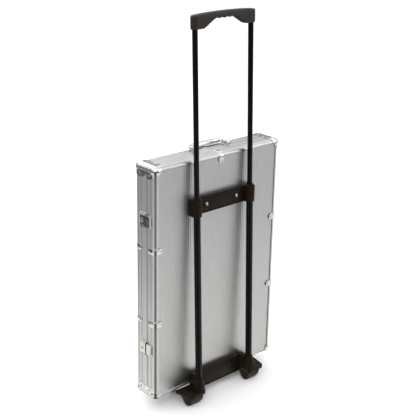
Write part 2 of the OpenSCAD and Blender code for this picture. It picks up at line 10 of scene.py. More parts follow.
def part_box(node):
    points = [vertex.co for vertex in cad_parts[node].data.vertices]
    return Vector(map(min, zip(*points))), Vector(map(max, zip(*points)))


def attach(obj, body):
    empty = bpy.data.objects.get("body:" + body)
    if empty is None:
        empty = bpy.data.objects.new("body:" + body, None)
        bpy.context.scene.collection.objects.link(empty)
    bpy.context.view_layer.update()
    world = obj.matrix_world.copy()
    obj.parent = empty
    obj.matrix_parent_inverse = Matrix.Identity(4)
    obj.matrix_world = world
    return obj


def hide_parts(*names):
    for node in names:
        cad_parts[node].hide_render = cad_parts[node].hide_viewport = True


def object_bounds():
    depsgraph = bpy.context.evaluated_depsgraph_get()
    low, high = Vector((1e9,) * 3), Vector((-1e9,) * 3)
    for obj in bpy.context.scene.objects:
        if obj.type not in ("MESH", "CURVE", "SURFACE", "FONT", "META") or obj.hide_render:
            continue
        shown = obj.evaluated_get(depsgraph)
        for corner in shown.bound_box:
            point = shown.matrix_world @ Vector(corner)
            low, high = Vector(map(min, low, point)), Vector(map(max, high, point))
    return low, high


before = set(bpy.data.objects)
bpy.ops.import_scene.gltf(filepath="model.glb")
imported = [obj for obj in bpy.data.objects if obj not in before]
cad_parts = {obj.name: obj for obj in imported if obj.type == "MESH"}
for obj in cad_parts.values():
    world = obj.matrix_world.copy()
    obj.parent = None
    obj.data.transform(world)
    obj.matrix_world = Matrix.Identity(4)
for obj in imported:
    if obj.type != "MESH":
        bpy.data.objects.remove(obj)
cad_low, cad_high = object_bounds()


# ---- Where things are ------------------------------------------------------
# Shapes are drawn in millimetres in the case's own frame: X from the middle of the
# case, Y from its trolley-side face towards the deep half, Z from its bottom.

def low(node):
    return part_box(node)[0]


def high(node):
    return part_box(node)[1]


MM = 0.001
ORIGIN = Vector((0, low("lid_frame_left").y, low("lid_frame_bottom").z))
HALF_W = high("lid_frame_right").x / MM
CASE_D = (high("base_frame_left").y - ORIGIN.y) / MM
CASE_H = (high("lid_frame_top").z - ORIGIN.z) / MM
LID_END = (high("lid_frame_left").y - ORIGIN.y) / MM
BASE_START = (low("base_frame_left").y - ORIGIN.y) / MM
SEAM_Y = (LID_END + BASE_START) / 2
FLOOR_Z = (cad_low.z - ORIGIN.z) / MM


def case_mm(point):
    """A point of the row frame in the case's own millimetres."""
    return (Vector(point) - ORIGIN) / MM


EDGE_R = 10.0
OUTLINE_R = 9.0
LIP_W = 10.5
LIP_T = 1.6
WALL_T = 3.0
PANEL_IN = 7.5
PANEL_T = 4.0


# ---- Mesh building ---------------------------------------------------------

def arc(centre, radius, start, end, steps):
    """Points on an arc, angles in degrees."""
    angles = [math.radians(start + (end - start) * i / steps) for i in range(steps + 1)]
    return [(centre[0] + radius * math.cos(a), centre[1] + radius * math.sin(a)) for a in angles]


def rounded_outline(x0, y0, x1, y1, r, steps=6):
    """A rectangle with round corners, as a closed list of points."""
    return (arc((x1 - r, y0 + r), r, -90, 0, steps) + arc((x1 - r, y1 - r), r, 0, 90, steps)
            + arc((x0 + r, y1 - r), r, 90, 180, steps) + arc((x0 + r, y0 + r), r, 180, 270, steps))


AXIS_FRAMES = {
    "x": (Vector((0, 1, 0)), Vector((0, 0, 1)), Vector((1, 0, 0))),
    "y": (Vector((0, 0, 1)), Vector((1, 0, 0)), Vector((0, 1, 0))),
    "z": (Vector((1, 0, 0)), Vector((0, 1, 0)), Vector((0, 0, 1))),
}


PLAIN = Matrix.Identity(4)


def facing(place, normal):
    """Matrix that stands Z along a normal at a place."""
    return Matrix.Translation(place) @ normal.to_track_quat("Z", "Y").to_matrix().to_4x4()


def mirrored(profile):
    """A lathe profile, given from its middle to one end, with its other half before it."""
    return [(radius, -height) for radius, height in reversed(profile)] + profile


class Shape:
    """A mesh under construction, in millimetres of the case's own frame."""

    def __init__(self):
        self.bm = bmesh.new()

    def merge(self, part, matrix=None):
        """Adds another bmesh, moved by matrix, and frees it."""
        if matrix is not None:
            part.transform(matrix)
            if matrix.determinant() < 0:
                bmesh.ops.reverse_faces(part, faces=part.faces)
        mesh = bpy.data.meshes.new("part")
        part.to_mesh(mesh)
        part.free()
        self.bm.from_mesh(mesh)
        bpy.data.meshes.remove(mesh)

    def grid(self, rows, closed_rows=False, closed_columns=False, caps=False, matrix=None):
        """Quads between rows of points; caps close the first and last rows."""
        part = bmesh.new()
        made = [[part.verts.new(p) for p in row] for row in rows]
        count = len(made) if closed_rows else len(made) - 1
        for i in range(count):
            first, second = made[i], made[(i + 1) % len(made)]
            width = len(first) if closed_columns else len(first) - 1
            for j in range(width):
                k = (j + 1) % len(first)
                part.faces.new((first[j], first[k], second[k], second[j]))
        if caps:
            part.faces.new(made[0])
            part.faces.new(list(reversed(made[-1])))
        bmesh.ops.remove_doubles(part, verts=part.verts, dist=1e-4)
        bmesh.ops.recalc_face_normals(part, faces=part.faces)
        self.merge(part, matrix)

    def prism(self, outline, axis, start, end, bevel=0.0, segments=3, matrix=None):
        """An outline pushed along an axis, with its end edges rounded."""
        across, up, along = AXIS_FRAMES[axis]
        part = bmesh.new()
        rings = [[part.verts.new(across * a + up * b + along * t) for a, b in outline] for t in (start, end)]
        count = len(outline)
        for i in range(count):
            j = (i + 1) % count
            part.faces.new((rings[0][i], rings[0][j], rings[1][j], rings[1][i]))
        ends = [part.faces.new(list(reversed(rings[0]))), part.faces.new(rings[1])]
        bmesh.ops.remove_doubles(part, verts=part.verts, dist=1e-4)
        bmesh.ops.recalc_face_normals(part, faces=part.faces)
        if bevel:
            edges = list({e for f in ends if f.is_valid for e in f.edges})
            bmesh.ops.bevel(part, geom=edges, offset=bevel, segments=segments, profile=0.5,
                            affect="EDGES", clamp_overlap=True)
        self.merge(part, matrix)

    def block(self, start, end, bevel=0.4, segments=2, matrix=None):
        """A box with all its edges rounded."""
        part = bmesh.new()
        bmesh.ops.create_cube(part, size=1.0)
        size = Vector(end) - Vector(start)
        middle = (Vector(end) + Vector(start)) / 2
        part.transform(Matrix.Translation(middle) @ Matrix.Diagonal((*size, 1.0)))
        bmesh.ops.bevel(part, geom=list(part.edges), offset=bevel, segments=segments, profile=0.5,
                        affect="EDGES", clamp_overlap=True)
        bmesh.ops.recalc_face_normals(part, faces=part.faces)
        self.merge(part, matrix)

    def lathe(self, profile, centre, axis, segments=48, closed=False, matrix=None):
        """A profile of (radius, height) turned about an axis through centre."""
        across, up, along = AXIS_FRAMES[axis]
        rows = []
        for radius, height in profile:
            radius = max(radius, 1e-5)
            row = []
            for i in range(segments):
                a = 2 * math.pi * i / segments
                spoke = across * math.cos(a) + up * math.sin(a)
                row.append(Vector(centre) + spoke * radius + along * height)
            rows.append(row)
        self.grid(rows, closed_rows=closed, closed_columns=True, matrix=matrix)

    def slab(self, rows, back):
        """A closed solid from a sheet of rows to a flat back at y = back."""
        def flat(points):
            return [Vector((p.x, back, p.z)) for p in points]

        edge = [row[0] for row in rows] + rows[-1][1:-1] + [row[-1] for row in reversed(rows)]
        edge += list(reversed(rows[0][1:-1]))
        self.grid(rows)
        self.grid([edge, flat(edge)], closed_columns=True)
        self.grid([flat((rows[0][0], rows[0][-1])), flat((rows[-1][0], rows[-1][-1]))])
        bmesh.ops.remove_doubles(self.bm, verts=self.bm.verts, dist=1e-3)
        bmesh.ops.recalc_face_normals(self.bm, faces=self.bm.faces)

    def finish(self, name, material, body, replaces=(), sharp=35.0, bevel=0.0):
        """Makes the object, gives it its material and puts it on its body."""
        mesh = bpy.data.meshes.new(name)
        self.bm.to_mesh(mesh)
        self.bm.free()
        mesh.transform(Matrix.Translation(ORIGIN) @ Matrix.Scale(MM, 4))
        mesh.shade_smooth()
        mesh.set_sharp_from_angle(angle=math.radians(sharp))
        piece = bpy.data.objects.new(name, mesh)
        bpy.context.scene.collection.objects.link(piece)
        piece.data.materials.append(material)
        if bevel:
            add_bevel(piece, bevel)
        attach(piece, body)
        if replaces:
            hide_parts(*replaces)
        return piece


def add_bevel(piece, width_mm, segments=2, angle=40.0):
    modifier = piece.modifiers.new("edges", "BEVEL")
    modifier.width = width_mm * MM
    modifier.segments = segments
    modifier.limit_method = "ANGLE"
    modifier.angle_limit = math.radians(angle)
    modifier.harden_normals = False


# ---- Materials -------------------------------------------------------------

class Tree:
    """A node tree, with short calls for what the materials and the studio need."""

    def __init__(self, tree, coordinates):
        self.tree = tree
        self.where = self.add("TexCoord").outputs[coordinates]

    def feed(self, socket, value):
        """Gives a socket its value: another node's output, a number, a vector or a colour."""
        if isinstance(value, bpy.types.NodeSocket):
            self.tree.links.new(value, socket)
        elif socket.type == "RGBA":
            socket.default_value = (*value, 1)
        else:
            socket.default_value = value

    def add(self, kind, **inputs):
        """A new node; an underscore stands for a space in the names of its inputs."""
        node = self.tree.nodes.new(f"ShaderNode{kind}")
        for name, value in inputs.items():
            self.feed(node.inputs[name.replace("_", " ")], value)
        return node

    def calculate(self, kind, operation, *values):
        """A Math or VectorMath node on its values."""
        node = self.add(kind)
        node.operation = operation
        for socket, value in zip(node.inputs, values):
            self.feed(socket, value)
        return node

    def span(self, value, low_out, high_out, low_in=0.3, high_in=0.7, smooth=False):
        """A value mapped from one range to another, straight or as a smooth step."""
        node = self.add("MapRange", Value=value, From_Min=low_in, From_Max=high_in,
                        To_Min=low_out, To_Max=high_out)
        if smooth:
            node.interpolation_type = "SMOOTHSTEP"
        return node.outputs["Result"]

    def mix(self, value, first, second):
        """Mixes two colours, each a colour or an output, by a value."""
        node = self.add("Mix")
        node.data_type = "RGBA"
        self.feed(node.inputs["Factor"], value)
        self.feed(node.inputs[6], first)
        self.feed(node.inputs[7], second)
        return node.outputs[2]


class Nodes(Tree):
    """A material, with short calls for its textures."""

    def __init__(self, name, **settings):
        self.material = bpy.data.materials.new(name)
        self.material.use_nodes = True
        super().__init__(self.material.node_tree, "Object")
        self.shader = self.tree.nodes["Principled BSDF"]
        for socket, value in settings.items():
            self.shader.inputs[socket.replace("_", " ")].default_value = value

    def noise(self, scale, stretch=(1, 1, 1), detail=4.0, roughness=0.55):
        """Noise in object coordinates; a small stretch means long streaks that way."""
        where = self.add("Mapping", Vector=self.where, Scale=stretch).outputs["Vector"]
        node = self.add("TexNoise", Vector=where, Scale=scale, Detail=detail, Roughness=roughness)
        return node.outputs["Fac"]

    def cells(self, scale):
        return self.add("TexVoronoi", Vector=self.where, Scale=scale).outputs["Distance"]

    def edge_highlight_mask(self, radius_mm, low_in=0.02, high_in=0.25):
        """About 1 on sharp edges and 0 on flats, from how the bevelled normal turns away; it masks the
        painted edge highlight.
        """
        bevel = self.add("Bevel", Radius=radius_mm * MM)
        bevel.samples = 4
        true_normal = self.add("NewGeometry").outputs["Normal"]
        dot = self.calculate("VectorMath", "DOT_PRODUCT", bevel.outputs["Normal"], true_normal)
        return self.span(dot.outputs["Value"], 1.0, 0.0, 1.0 - high_in, 1.0 - low_in)

    def bump(self, value, strength, distance_mm, after=None):
        node = self.add("Bump", Height=value, Strength=strength, Distance=distance_mm * MM)
        if after is not None:
            self.feed(node.inputs["Normal"], after)
        return node.outputs["Normal"]

    def set(self, socket, value):
        self.feed(self.shader.inputs[socket], value)


def aluminium(name, dark, light, stretch, rough=(0.26, 0.40), grain=0.10):
    """Satin aluminium, brushed the way that stretch is long."""
    m = Nodes(name, Metallic=1.0)
    streak = m.noise(900, stretch, 3.0)
    cloud = m.noise(7, (1, 1, 0.5), 3.0)
    tone = m.mix(m.span(streak, 0, 1), dark, light)
    m.set("Base Color", m.mix(m.span(cloud, 0, 0.35), tone, tuple(0.93 * c for c in light)))
    m.set("Roughness", m.span(m.noise(1300, stretch, 2.0), *rough))
    m.set("Normal", m.bump(streak, grain, 0.02))
    return m.material


def chrome(name, tone=(0.74, 0.74, 0.73)):
    """Bright plating with faint smears and fine scratches."""
    m = Nodes(name, Metallic=1.0)
    smear = m.noise(60, (1, 1, 1), 5.0)
    scratch = m.noise(500, (1, 0.06, 1), 2.0)
    m.set("Base Color", m.mix(m.span(smear, 0, 0.5), tone, tuple(0.86 * c for c in tone)))
    m.set("Roughness", m.span(smear, 0.07, 0.17))
    m.set("Normal", m.bump(scratch, 0.04, 0.01))
    return m.material


def zinc(name, tone=(0.55, 0.54, 0.52), rough=(0.25, 0.45)):
    m = Nodes(name, Metallic=1.0)
    patch = m.noise(220, (1, 1, 1), 5.0)
    m.set("Base Color", m.mix(m.span(patch, 0, 1), tone, tuple(0.78 * c for c in tone)))
    m.set("Roughness", m.span(patch, *rough))
    m.set("Normal", m.bump(m.noise(900), 0.06, 0.01))
    return m.material


def brass(name):
    m = Nodes(name, Metallic=1.0)
    patch = m.noise(300, (1, 1, 1), 4.0)
    m.set("Base Color", m.mix(m.span(patch, 0, 1), (0.78, 0.62, 0.26), (0.62, 0.46, 0.17)))
    m.set("Roughness", m.span(patch, 0.14, 0.30))
    m.set("Normal", m.bump(m.noise(1200), 0.05, 0.01))
    return m.material


def gloss_paint(name, tone=(0.002, 0.0018, 0.0018), rough=(0.09, 0.16)):
    """Gloss powder coat with its slight orange peel and rubbed streaks."""
    m = Nodes(name)
    m.shader.inputs["Specular IOR Level"].default_value = 0.18
    peel = m.noise(700, (1, 1, 0.8), 2.0)
    rub = m.noise(90, (1, 1, 0.03), 4.0)
    m.set("Base Color", m.mix(m.span(rub, 0, 0.6), tone, tuple(2.2 * c for c in tone)))
    m.set("Roughness", m.span(rub, *rough))
    m.set("Normal", m.bump(peel, 0.10, 0.03))
    return m.material


def moulded(name, tone, edge, rough=(0.36, 0.52), grain=0.22, shine=0.13):
    """Moulded plastic: fine spark-eroded grain, soft clouding and edges painted lighter as a highlight."""
    m = Nodes(name)
    m.shader.inputs["Specular IOR Level"].default_value = shine
    cloud = m.noise(25, (1, 1, 1), 4.0)
    spark = m.noise(1800, (1, 1, 1), 2.0)
    base = m.mix(m.span(cloud, 0, 1), tone, tuple(1.5 * c for c in tone))
    # The edge colour is a painted highlight: edges are mixed lighter where they catch the light.
    m.set("Base Color", m.mix(m.edge_highlight_mask(0.8), base, edge))
    m.set("Roughness", m.span(m.noise(60), *rough))
    m.set("Normal", m.bump(spark, grain, 0.04, m.bump(m.cells(1400), 0.10, 0.03)))
    return m.material


def rubber(name):
    m = Nodes(name)
    dust = m.noise(140, (1, 1, 1), 6.0)
    m.set("Base Color", m.mix(m.span(dust, 0, 1, 0.45, 0.8), (0.013, 0.011, 0.010), (0.05, 0.045, 0.04)))
    m.set("Roughness", m.span(dust, 0.45, 0.70))
    m.set("Normal", m.bump(m.noise(1500), 0.20, 0.04))
    return m.material


def flock(name):
    """Short black flock: a soft sheen over a fuzzy fine grain."""
    m = Nodes(name, Roughness=0.95)
    m.shader.inputs["Sheen Weight"].default_value = 0.35
    m.shader.inputs["Sheen Roughness"].default_value = 0.5
    m.shader.inputs["Specular IOR Level"].default_value = 0.15
    nap = m.noise(45, (1, 1, 1), 5.0)
    fuzz = m.noise(2600, (1, 1, 1), 3.0)
    m.set("Base Color", m.mix(m.span(nap, 0, 1), (0.016, 0.016, 0.018), (0.032, 0.032, 0.036)))
    m.set("Normal", m.bump(fuzz, 0.55, 0.12, m.bump(nap, 0.2, 0.4)))
    return m.material


def foam(name):
    """Open-cell lining foam, charcoal, with its pores painted darker as shade in the holes."""
    m = Nodes(name, Roughness=0.92)
    m.shader.inputs["Specular IOR Level"].default_value = 0.2
    pores = m.cells(1100)
    tone = m.mix(m.span(m.noise(30), 0, 1), (0.028, 0.028, 0.031), (0.045, 0.045, 0.05))
    # The pore centres are mixed to near-black as painted shade in the holes.
    m.set("Base Color", m.mix(m.span(pores, 0, 1, 0.0, 0.5), (0.012, 0.012, 0.014), tone))
    m.set("Normal", m.bump(pores, 0.6, 0.25))
    return m.material


ALONG_Z = (1, 1, 0.02)
ALONG_X = (0.02, 1, 1)
RIBBED = aluminium("ribbed_aluminium", (0.55, 0.555, 0.555), (0.67, 0.67, 0.665), ALONG_Z, (0.34, 0.44))
# The upright and level frames are one aluminium in two copies: the uprights are painted lighter as lit, the
# level pieces darker as shaded.
FRAME_UPRIGHT_PAINTED_LIT = aluminium("frame_aluminium_upright", (0.64, 0.645, 0.65), (0.76, 0.76, 0.755), ALONG_Z,
                    (0.30, 0.40))
FRAME_LEVEL_PAINTED_SHADE = aluminium("frame_aluminium_level", (0.50, 0.505, 0.505), (0.60, 0.60, 0.595), ALONG_X, (0.34, 0.44))
CHROME = chrome("chrome_plate")
ZINC = zinc("zinc_plate")
RIVET = zinc("rivet_steel", (0.50, 0.46, 0.42), (0.2, 0.4))
SCREW = zinc("bright_screw", (0.72, 0.72, 0.72), (0.15, 0.3))
BRASS = brass("brass_key")
TUBE = gloss_paint("black_tube_paint")
DARK_SCREW = gloss_paint("black_screw_paint", (0.012, 0.012, 0.012), (0.3, 0.45))
PLASTIC = moulded("trolley_plastic_dark", (0.0085, 0.0048, 0.0018), (0.028, 0.019, 0.012))
# A lighter copy of the trolley plastic: the grip's tone is painted lighter for the light on its upward face.
PAINTED_LIT_GRIP_PLASTIC = moulded("trolley_plastic_grip_painted_lit", (0.013, 0.010, 0.0078), (0.036, 0.030, 0.025), shine=0.3)
WHEEL_PLASTIC = moulded("wheel_plastic_dark", (0.007, 0.006, 0.006), (0.02, 0.018, 0.016), (0.25, 0.4), 0.12)
RUBBER = rubber("wheel_rubber_dark")
FLOCK = flock("tray_flock")
FOAM = foam("lining_foam")


# ---- The two halves --------------------------------------------------------

class Half:
    """What differs between the shallow half and the deep half."""

    def __init__(self, name, body, face_y, sign, depth, grooves):
        self.name = name
        self.body = body
        self.face_y = face_y
        self.sign = sign
        self.depth = depth
        self.grooves = grooves

    def y(self, depth):
        """Case Y at a depth in from this half's big face."""
        return self.face_y + self.sign * depth


LID_GROOVES = [13.0]
BASE_GROOVES = [CASE_D - 59.6, CASE_D - 47.6]
LID = Half("lid", "lid_half", 0.0, 1, LID_END, LID_GROOVES)
BASE = Half("base", "base_half", CASE_D, -1, CASE_D - BASE_START, BASE_GROOVES)
HALVES = [LID, BASE]
GROOVE_W = 1.6
GROOVE_T = 0.6


def frame_profile(half):
    """The extrusion's closed cross-section: inset from the outline, depth from the face."""
    points = [(LIP_W, LIP_T), (LIP_W, 0.45), (LIP_W - 0.45, 0.0)]
    points += [(EDGE_R - p, EDGE_R - q) for p, q in arc((0, 0), EDGE_R, 90, 0, 10)]
    for g in half.grooves:
        points += [(0, g - 0.25), (0.2, g), (GROOVE_T, g + 0.3), (GROOVE_T, g + GROOVE_W - 0.3),
                   (0.2, g + GROOVE_W), (0, g + GROOVE_W + 0.25)]
    end = half.depth
    points += [(0, end - 2.6), (0.25, end - 2.3), (0.25, end - 1.9), (0, end - 1.6),
               (0, end - 0.5), (0.5, end), (WALL_T, end)]
    points += [(WALL_T, LIP_T + PANEL_T), (PANEL_IN, LIP_T + PANEL_T), (PANEL_IN, LIP_T)]
    return points


SIDE_ANGLES = {"left": (225, 180, 135), "top": (135, 90, 45),
               "right": (45, 0, -45), "bottom": (-45, -90, -135)}


def outline_path(side, inset, steps=5):
    """Points along one side of the case's outline, from mitre to mitre, at an inset."""
    k = max(OUTLINE_R, inset)
    radius = OUTLINE_R - inset if inset < OUTLINE_R else 0.0
    first, middle, last = SIDE_ANGLES[side]

    def corner(angle):
        sx = 1 if math.cos(math.radians(angle)) > 0 else -1
        top = math.sin(math.radians(angle)) > 0
        return (sx * (HALF_W - k), CASE_H - k if top else k)

    return arc(corner(first), radius, first, middle, steps) + arc(corner(last), radius, middle, last, steps)


def frame_side(half, side):
    shape = Shape()
    columns = []
    for inset, depth in frame_profile(half):
        columns.append([Vector((x, half.y(depth), z)) for x, z in outline_path(side, inset)])
    rows = [list(row) for row in zip(*columns)]
    shape.grid(rows, closed_columns=True, caps=True)
    node = f"{half.name}_frame_{side}"
    material = FRAME_UPRIGHT_PAINTED_LIT if side in ("left", "right") else FRAME_LEVEL_PAINTED_SHADE
    shape.finish(f"{node}_extrusion", material, half.body, [node], sharp=28)


RIB_PITCH = 5.6
RIB_PROFILE = [(-1.1, 0.0), (-0.8, 0.09), (-0.4, 0.20), (0.0, 0.24), (0.4, 0.20), (0.8, 0.09), (1.1, 0.0)]


def ribbed_panel(half):
    """The aluminium-faced board, with its fine upright ribs between the frame's lips."""
    window = HALF_W - LIP_W - 0.2
    count = int(2 * (window - 1.5) / RIB_PITCH)
    start = -(count - 1) * RIB_PITCH / 2
    profile = [(-(HALF_W - PANEL_IN), 0.0), (-window, 0.0)]
    for i in range(count):
        profile += [(start + i * RIB_PITCH + dx, height) for dx, height in RIB_PROFILE]
    profile += [(window, 0.0), (HALF_W - PANEL_IN, 0.0)]
    levels = [(PANEL_IN, 0.0), (LIP_W + 0.1, 0.0), (LIP_W + 0.6, 1.0)]
    levels += [(CASE_H - z, share) for z, share in reversed(levels)]
    rows = [[Vector((x, half.y(LIP_T + 0.02 - h * share), z)) for x, h in profile] for z, share in levels]
    shape = Shape()
    shape.slab(rows, half.y(LIP_T + PANEL_T))
    shape.finish(f"{half.name}_ribbed_panel", RIBBED, half.body, [f"{half.name}_panel"])


# ---- Chrome corners --------------------------------------------------------

CAP_T = 1.2
CAP_CENTRE = 20.0
CAP_REACH = 28.0
BALL_R = 12.4
BALL_AT = 10.4
CAP_STEPS = 14
CORNERS = [(sx, top) for sx in (-1, 1) for top in (False, True)]


def corner_place(half, sx, top):
    """Matrix from (inset, depth, inset) of a corner to the case."""
    return Matrix(((-sx, 0, 0, sx * HALF_W), (0, half.sign, 0, half.face_y),
                   (0, 0, -1 if top else 1, CASE_H if top else 0), (0, 0, 0, 1)))


def flange_reach(depth):
    """How far a corner cap's flange runs along the case at a depth from the big face."""
    return math.sqrt(CAP_REACH ** 2 - (depth - CAP_CENTRE) ** 2)


def cap_surface(point):
    """Moves a point of the sharp corner's faces to the cap's rounded and domed surface."""
    core = Vector(max(c, EDGE_R) for c in point)
    away = point - core
    placed = core + away.normalized() * (EDGE_R + CAP_T)
    middle = Vector((BALL_AT, BALL_AT, BALL_AT))
    from_middle = placed - middle
    if from_middle.length < BALL_R:
        placed = middle + from_middle.normalized() * BALL_R
    return placed


def corner_cap(shape, half, sx, top):
    """One chrome corner: a domed ball with three flanges, thickened inwards."""
    depth_end = half.depth - 0.3
    part = bmesh.new()

    def add(rows):
        made = [[part.verts.new(cap_surface(Vector(p))) for p in row] for row in rows]
        for first, second in zip(made, made[1:]):
            for j in range(len(first) - 1):
                part.faces.new((first[j], first[j + 1], second[j + 1], second[j]))

    fractions = [i / CAP_STEPS for i in range(CAP_STEPS + 1)]
    depths = [depth_end * f for f in fractions]
    add([[(0.0, b, v * flange_reach(b)) for v in fractions] for b in depths])
    add([[(v * flange_reach(b), b, 0.0) for v in fractions] for b in depths])
    face_reach = flange_reach(0.0)
    face_rows = []
    for u in fractions:
        row = []
        for v in fractions:
            size = max(u, v) / max(math.hypot(u, v), 1e-9)
            row.append((u * size * face_reach, 0.0, v * size * face_reach))
        face_rows.append(row)
    add(face_rows)
    bmesh.ops.remove_doubles(part, verts=part.verts, dist=2e-3)
    bmesh.ops.recalc_face_normals(part, faces=part.faces)
    outward = sum(1 if (f.normal.dot(Vector((-1, -1, -1))) > 0) else -1 for f in part.faces)
    if outward < 0:
        bmesh.ops.reverse_faces(part, faces=part.faces)
    bmesh.ops.solidify(part, geom=list(part.faces), thickness=1.0)
    shape.merge(part, corner_place(half, sx, top))


def corner_caps(half):
    shape = Shape()
    for sx, top in CORNERS:
        corner_cap(shape, half, sx, top)
    shape.finish(f"{half.name}_corner_caps", CHROME, half.body, [f"{half.name}_corners"], sharp=32)


# ---- Edge clamps and rivets ------------------------------------------------

STRAP_W = 14.0
STRAP_LEG = 23.0
STRAP_T = 0.9
STRAP_ACROSS = [-1.0, -0.985, -0.93, -0.8, -0.5, 0.0, 0.5, 0.8, 0.93, 0.985, 1.0]
STRAP_LIFT = [0.0, 0.55, 0.85, 0.95, 1.08, 1.15, 1.08, 0.95, 0.85, 0.55, 0.0]
STRAP_BLUNT = 0.35
RIVET_IN = 19.0
CAP_RIVET_IN = 20.0


def edge_place(half, edge, along):
    """Matrix from (inset, depth, along) of a strap to the case, for one edge of a big face."""
    depth_row = (0, half.sign, 0, half.face_y)
    along_row = (0, 0, 1, along)
    rows = {"left": ((1, 0, 0, -HALF_W), depth_row, along_row),
            "right": ((-1, 0, 0, HALF_W), depth_row, along_row),
            "top": (along_row, depth_row, (-1, 0, 0, CASE_H)),
            "bottom": (along_row, depth_row, (1, 0, 0, 0))}
    return Matrix((*rows[edge], (0, 0, 0, 1)))


LID_CLAMPS = [("left", 192), ("left", 371), ("right", 192), ("right", 371), ("top", 4)]
BASE_CLAMPS = [("left", 192), ("left", 371), ("right", 192), ("right", 371), ("top", 0), ("bottom", 0)]


def strap_line():
    """The strap's middle line: distance along it, place and outward normal."""
    line = []
    for i in range(9):
        line.append((Vector((STRAP_LEG - (STRAP_LEG - EDGE_R) * i / 8, 0)), Vector((0, -1))))
    for i in range(1, 9):
        a = math.radians(270 - 90 * i / 8)
        n = Vector((math.cos(a), math.sin(a)))
        line.append((Vector((EDGE_R, EDGE_R)) + n * EDGE_R, n))
    for i in range(1, 9):
        line.append((Vector((0, EDGE_R + (STRAP_LEG - EDGE_R) * i / 8)), Vector((-1, 0))))
    return line


def strap(shape, matrix):
    """A pressed strap round an edge: crowned across, with round ends and turned-down rims."""
    line = strap_line()
    travelled = [0.0]
    for (a, _), (b, _) in zip(line, line[1:]):
        travelled.append(travelled[-1] + (b - a).length)
    total = travelled[-1]
    half_w = STRAP_W / 2
    rows = []
    samples = [0.0, 0.3, 1.0, 2.2, 4.0, half_w]
    stations = samples + [t for t in travelled if half_w < t < total - half_w]
    stations += [total - s for s in reversed(samples)]
    for s in stations:
        i = max(k for k in range(len(line) - 1) if travelled[k] <= s + 1e-9)
        f = (s - travelled[i]) / (travelled[i + 1] - travelled[i])
        place = line[i][0].lerp(line[i + 1][0], f)
        normal = line[i][1].lerp(line[i + 1][1], f).normalized()
        e = min(s, total - s)
        width = math.sqrt(max(half_w ** 2 - (half_w - e) ** 2, 0.0)) if e < half_w else half_w
        width = half_w * STRAP_BLUNT + width * (1 - STRAP_BLUNT)
        row = []
        for w, h in zip(STRAP_ACROSS, STRAP_LIFT):
            p = place + normal * (h * STRAP_T + 0.02)
            row.append(Vector((p.x, p.y, w * width)))
        rows.append(row)
    shape.grid(rows, matrix=matrix)
    shape.grid([[row[0], row[-1]] for row in rows], matrix=matrix)
    for row in (rows[0], rows[-1]):
        shape.grid([row, [Vector((row[0].x, row[0].y, p.z)) for p in row]], matrix=matrix)


RIVET_PROFILE = [(0.0, 0.62), (0.55, 0.66), (0.8, 0.92), (1.3, 0.88), (1.8, 0.62), (2.15, 0.25), (2.25, 0.0),
                 (2.25, -0.3)]


def rivet_at(shape, matrix, place, normal):
    """A tubular rivet head at a place, standing out along normal."""
    shape.lathe(RIVET_PROFILE, (0, 0, 0), "z", 20, matrix=matrix @ facing(place, normal))


def edge_straps(half, clamps):
    shape = Shape()
    for edge, along in clamps:
        strap(shape, edge_place(half, edge, along))
    bmesh.ops.remove_doubles(shape.bm, verts=shape.bm.verts, dist=1e-3)
    shape.finish(f"{half.name}_edge_straps", CHROME, half.body, [f"{half.name}_edge_clamps"])


def rivet_heads(half, clamps, cap_depth):
    shape = Shape()
    top_of_strap = STRAP_T * 1.1
    for edge, along in clamps:
        place = edge_place(half, edge, along)
        rivet_at(shape, place, Vector((-top_of_strap, RIVET_IN, 0)), Vector((-1, 0, 0)))
        rivet_at(shape, place, Vector((RIVET_IN, -top_of_strap, 0)), Vector((0, -1, 0)))
    for sx, top in CORNERS:
        place = corner_place(half, sx, top)
        rivet_at(shape, place, Vector((-CAP_T, cap_depth, CAP_RIVET_IN)), Vector((-1, 0, 0)))
        rivet_at(shape, place, Vector((CAP_RIVET_IN, cap_depth, -CAP_T)), Vector((0, 0, -1)))
    shape.finish(f"{half.name}_rivet_heads", RIVET, half.body, [f"{half.name}_rivets"])


# ---- Latches ---------------------------------------------------------------

LATCH_SPREAD = 157.0
LATCH_Z = [CASE_H / 2 - LATCH_SPREAD, CASE_H / 2 + LATCH_SPREAD]
LATCH_NAMES = ["lower", "upper"]
PIVOT_OUT = 3.2
LEVER_PIVOT = 18.5
HOOK_PIVOT = 6.5
KEY_AT = 12.0
CHEEK_T = 1.4
HOUSING_HALF = 17.0
HOUSING_END = 22.0
LEVER_HALF = 15.1
HOOK_HALF = 12.7


def latch_place(z):
    """Matrix from (outwards, from the seam into the deep half, along) to the case."""
    return Matrix(((-1, 0, 0, -HALF_W), (0, 1, 0, SEAM_Y), (0, 0, 1, z), (0, 0, 0, 1)))


def latch_sweep(shape, place, outline, start, end):
    """Pushes an outline of (in from the seam, out from the wall) points along a latch."""
    rows = [[Vector((out, across, w)) for across, out in outline] for w in (start, end)]
    shape.grid(rows, closed_columns=True, caps=True, matrix=place)


def latch_catches():
    shape = Shape()
    ridge = arc((-14.25, 0.4), 1.55, 180, 0, 8) + [(-12.5, 0.0), (-16.0, 0.0)]
    for z in LATCH_Z:
        place = latch_place(z)
        shape.prism(rounded_outline(-18, -13, -1, 13, 2.5, 4), "x", 0, 1, 0.35, 2, place)
        latch_sweep(shape, place, ridge, -10, 10)
        for w in (-9.5, 9.5):
            rivet_at(shape, place, Vector((0.9, -6, w)), Vector((1, 0, 0)))
    shape.finish("latch_catch_plates", CHROME, "lid_half", ["latch_catches"], bevel=0.15)


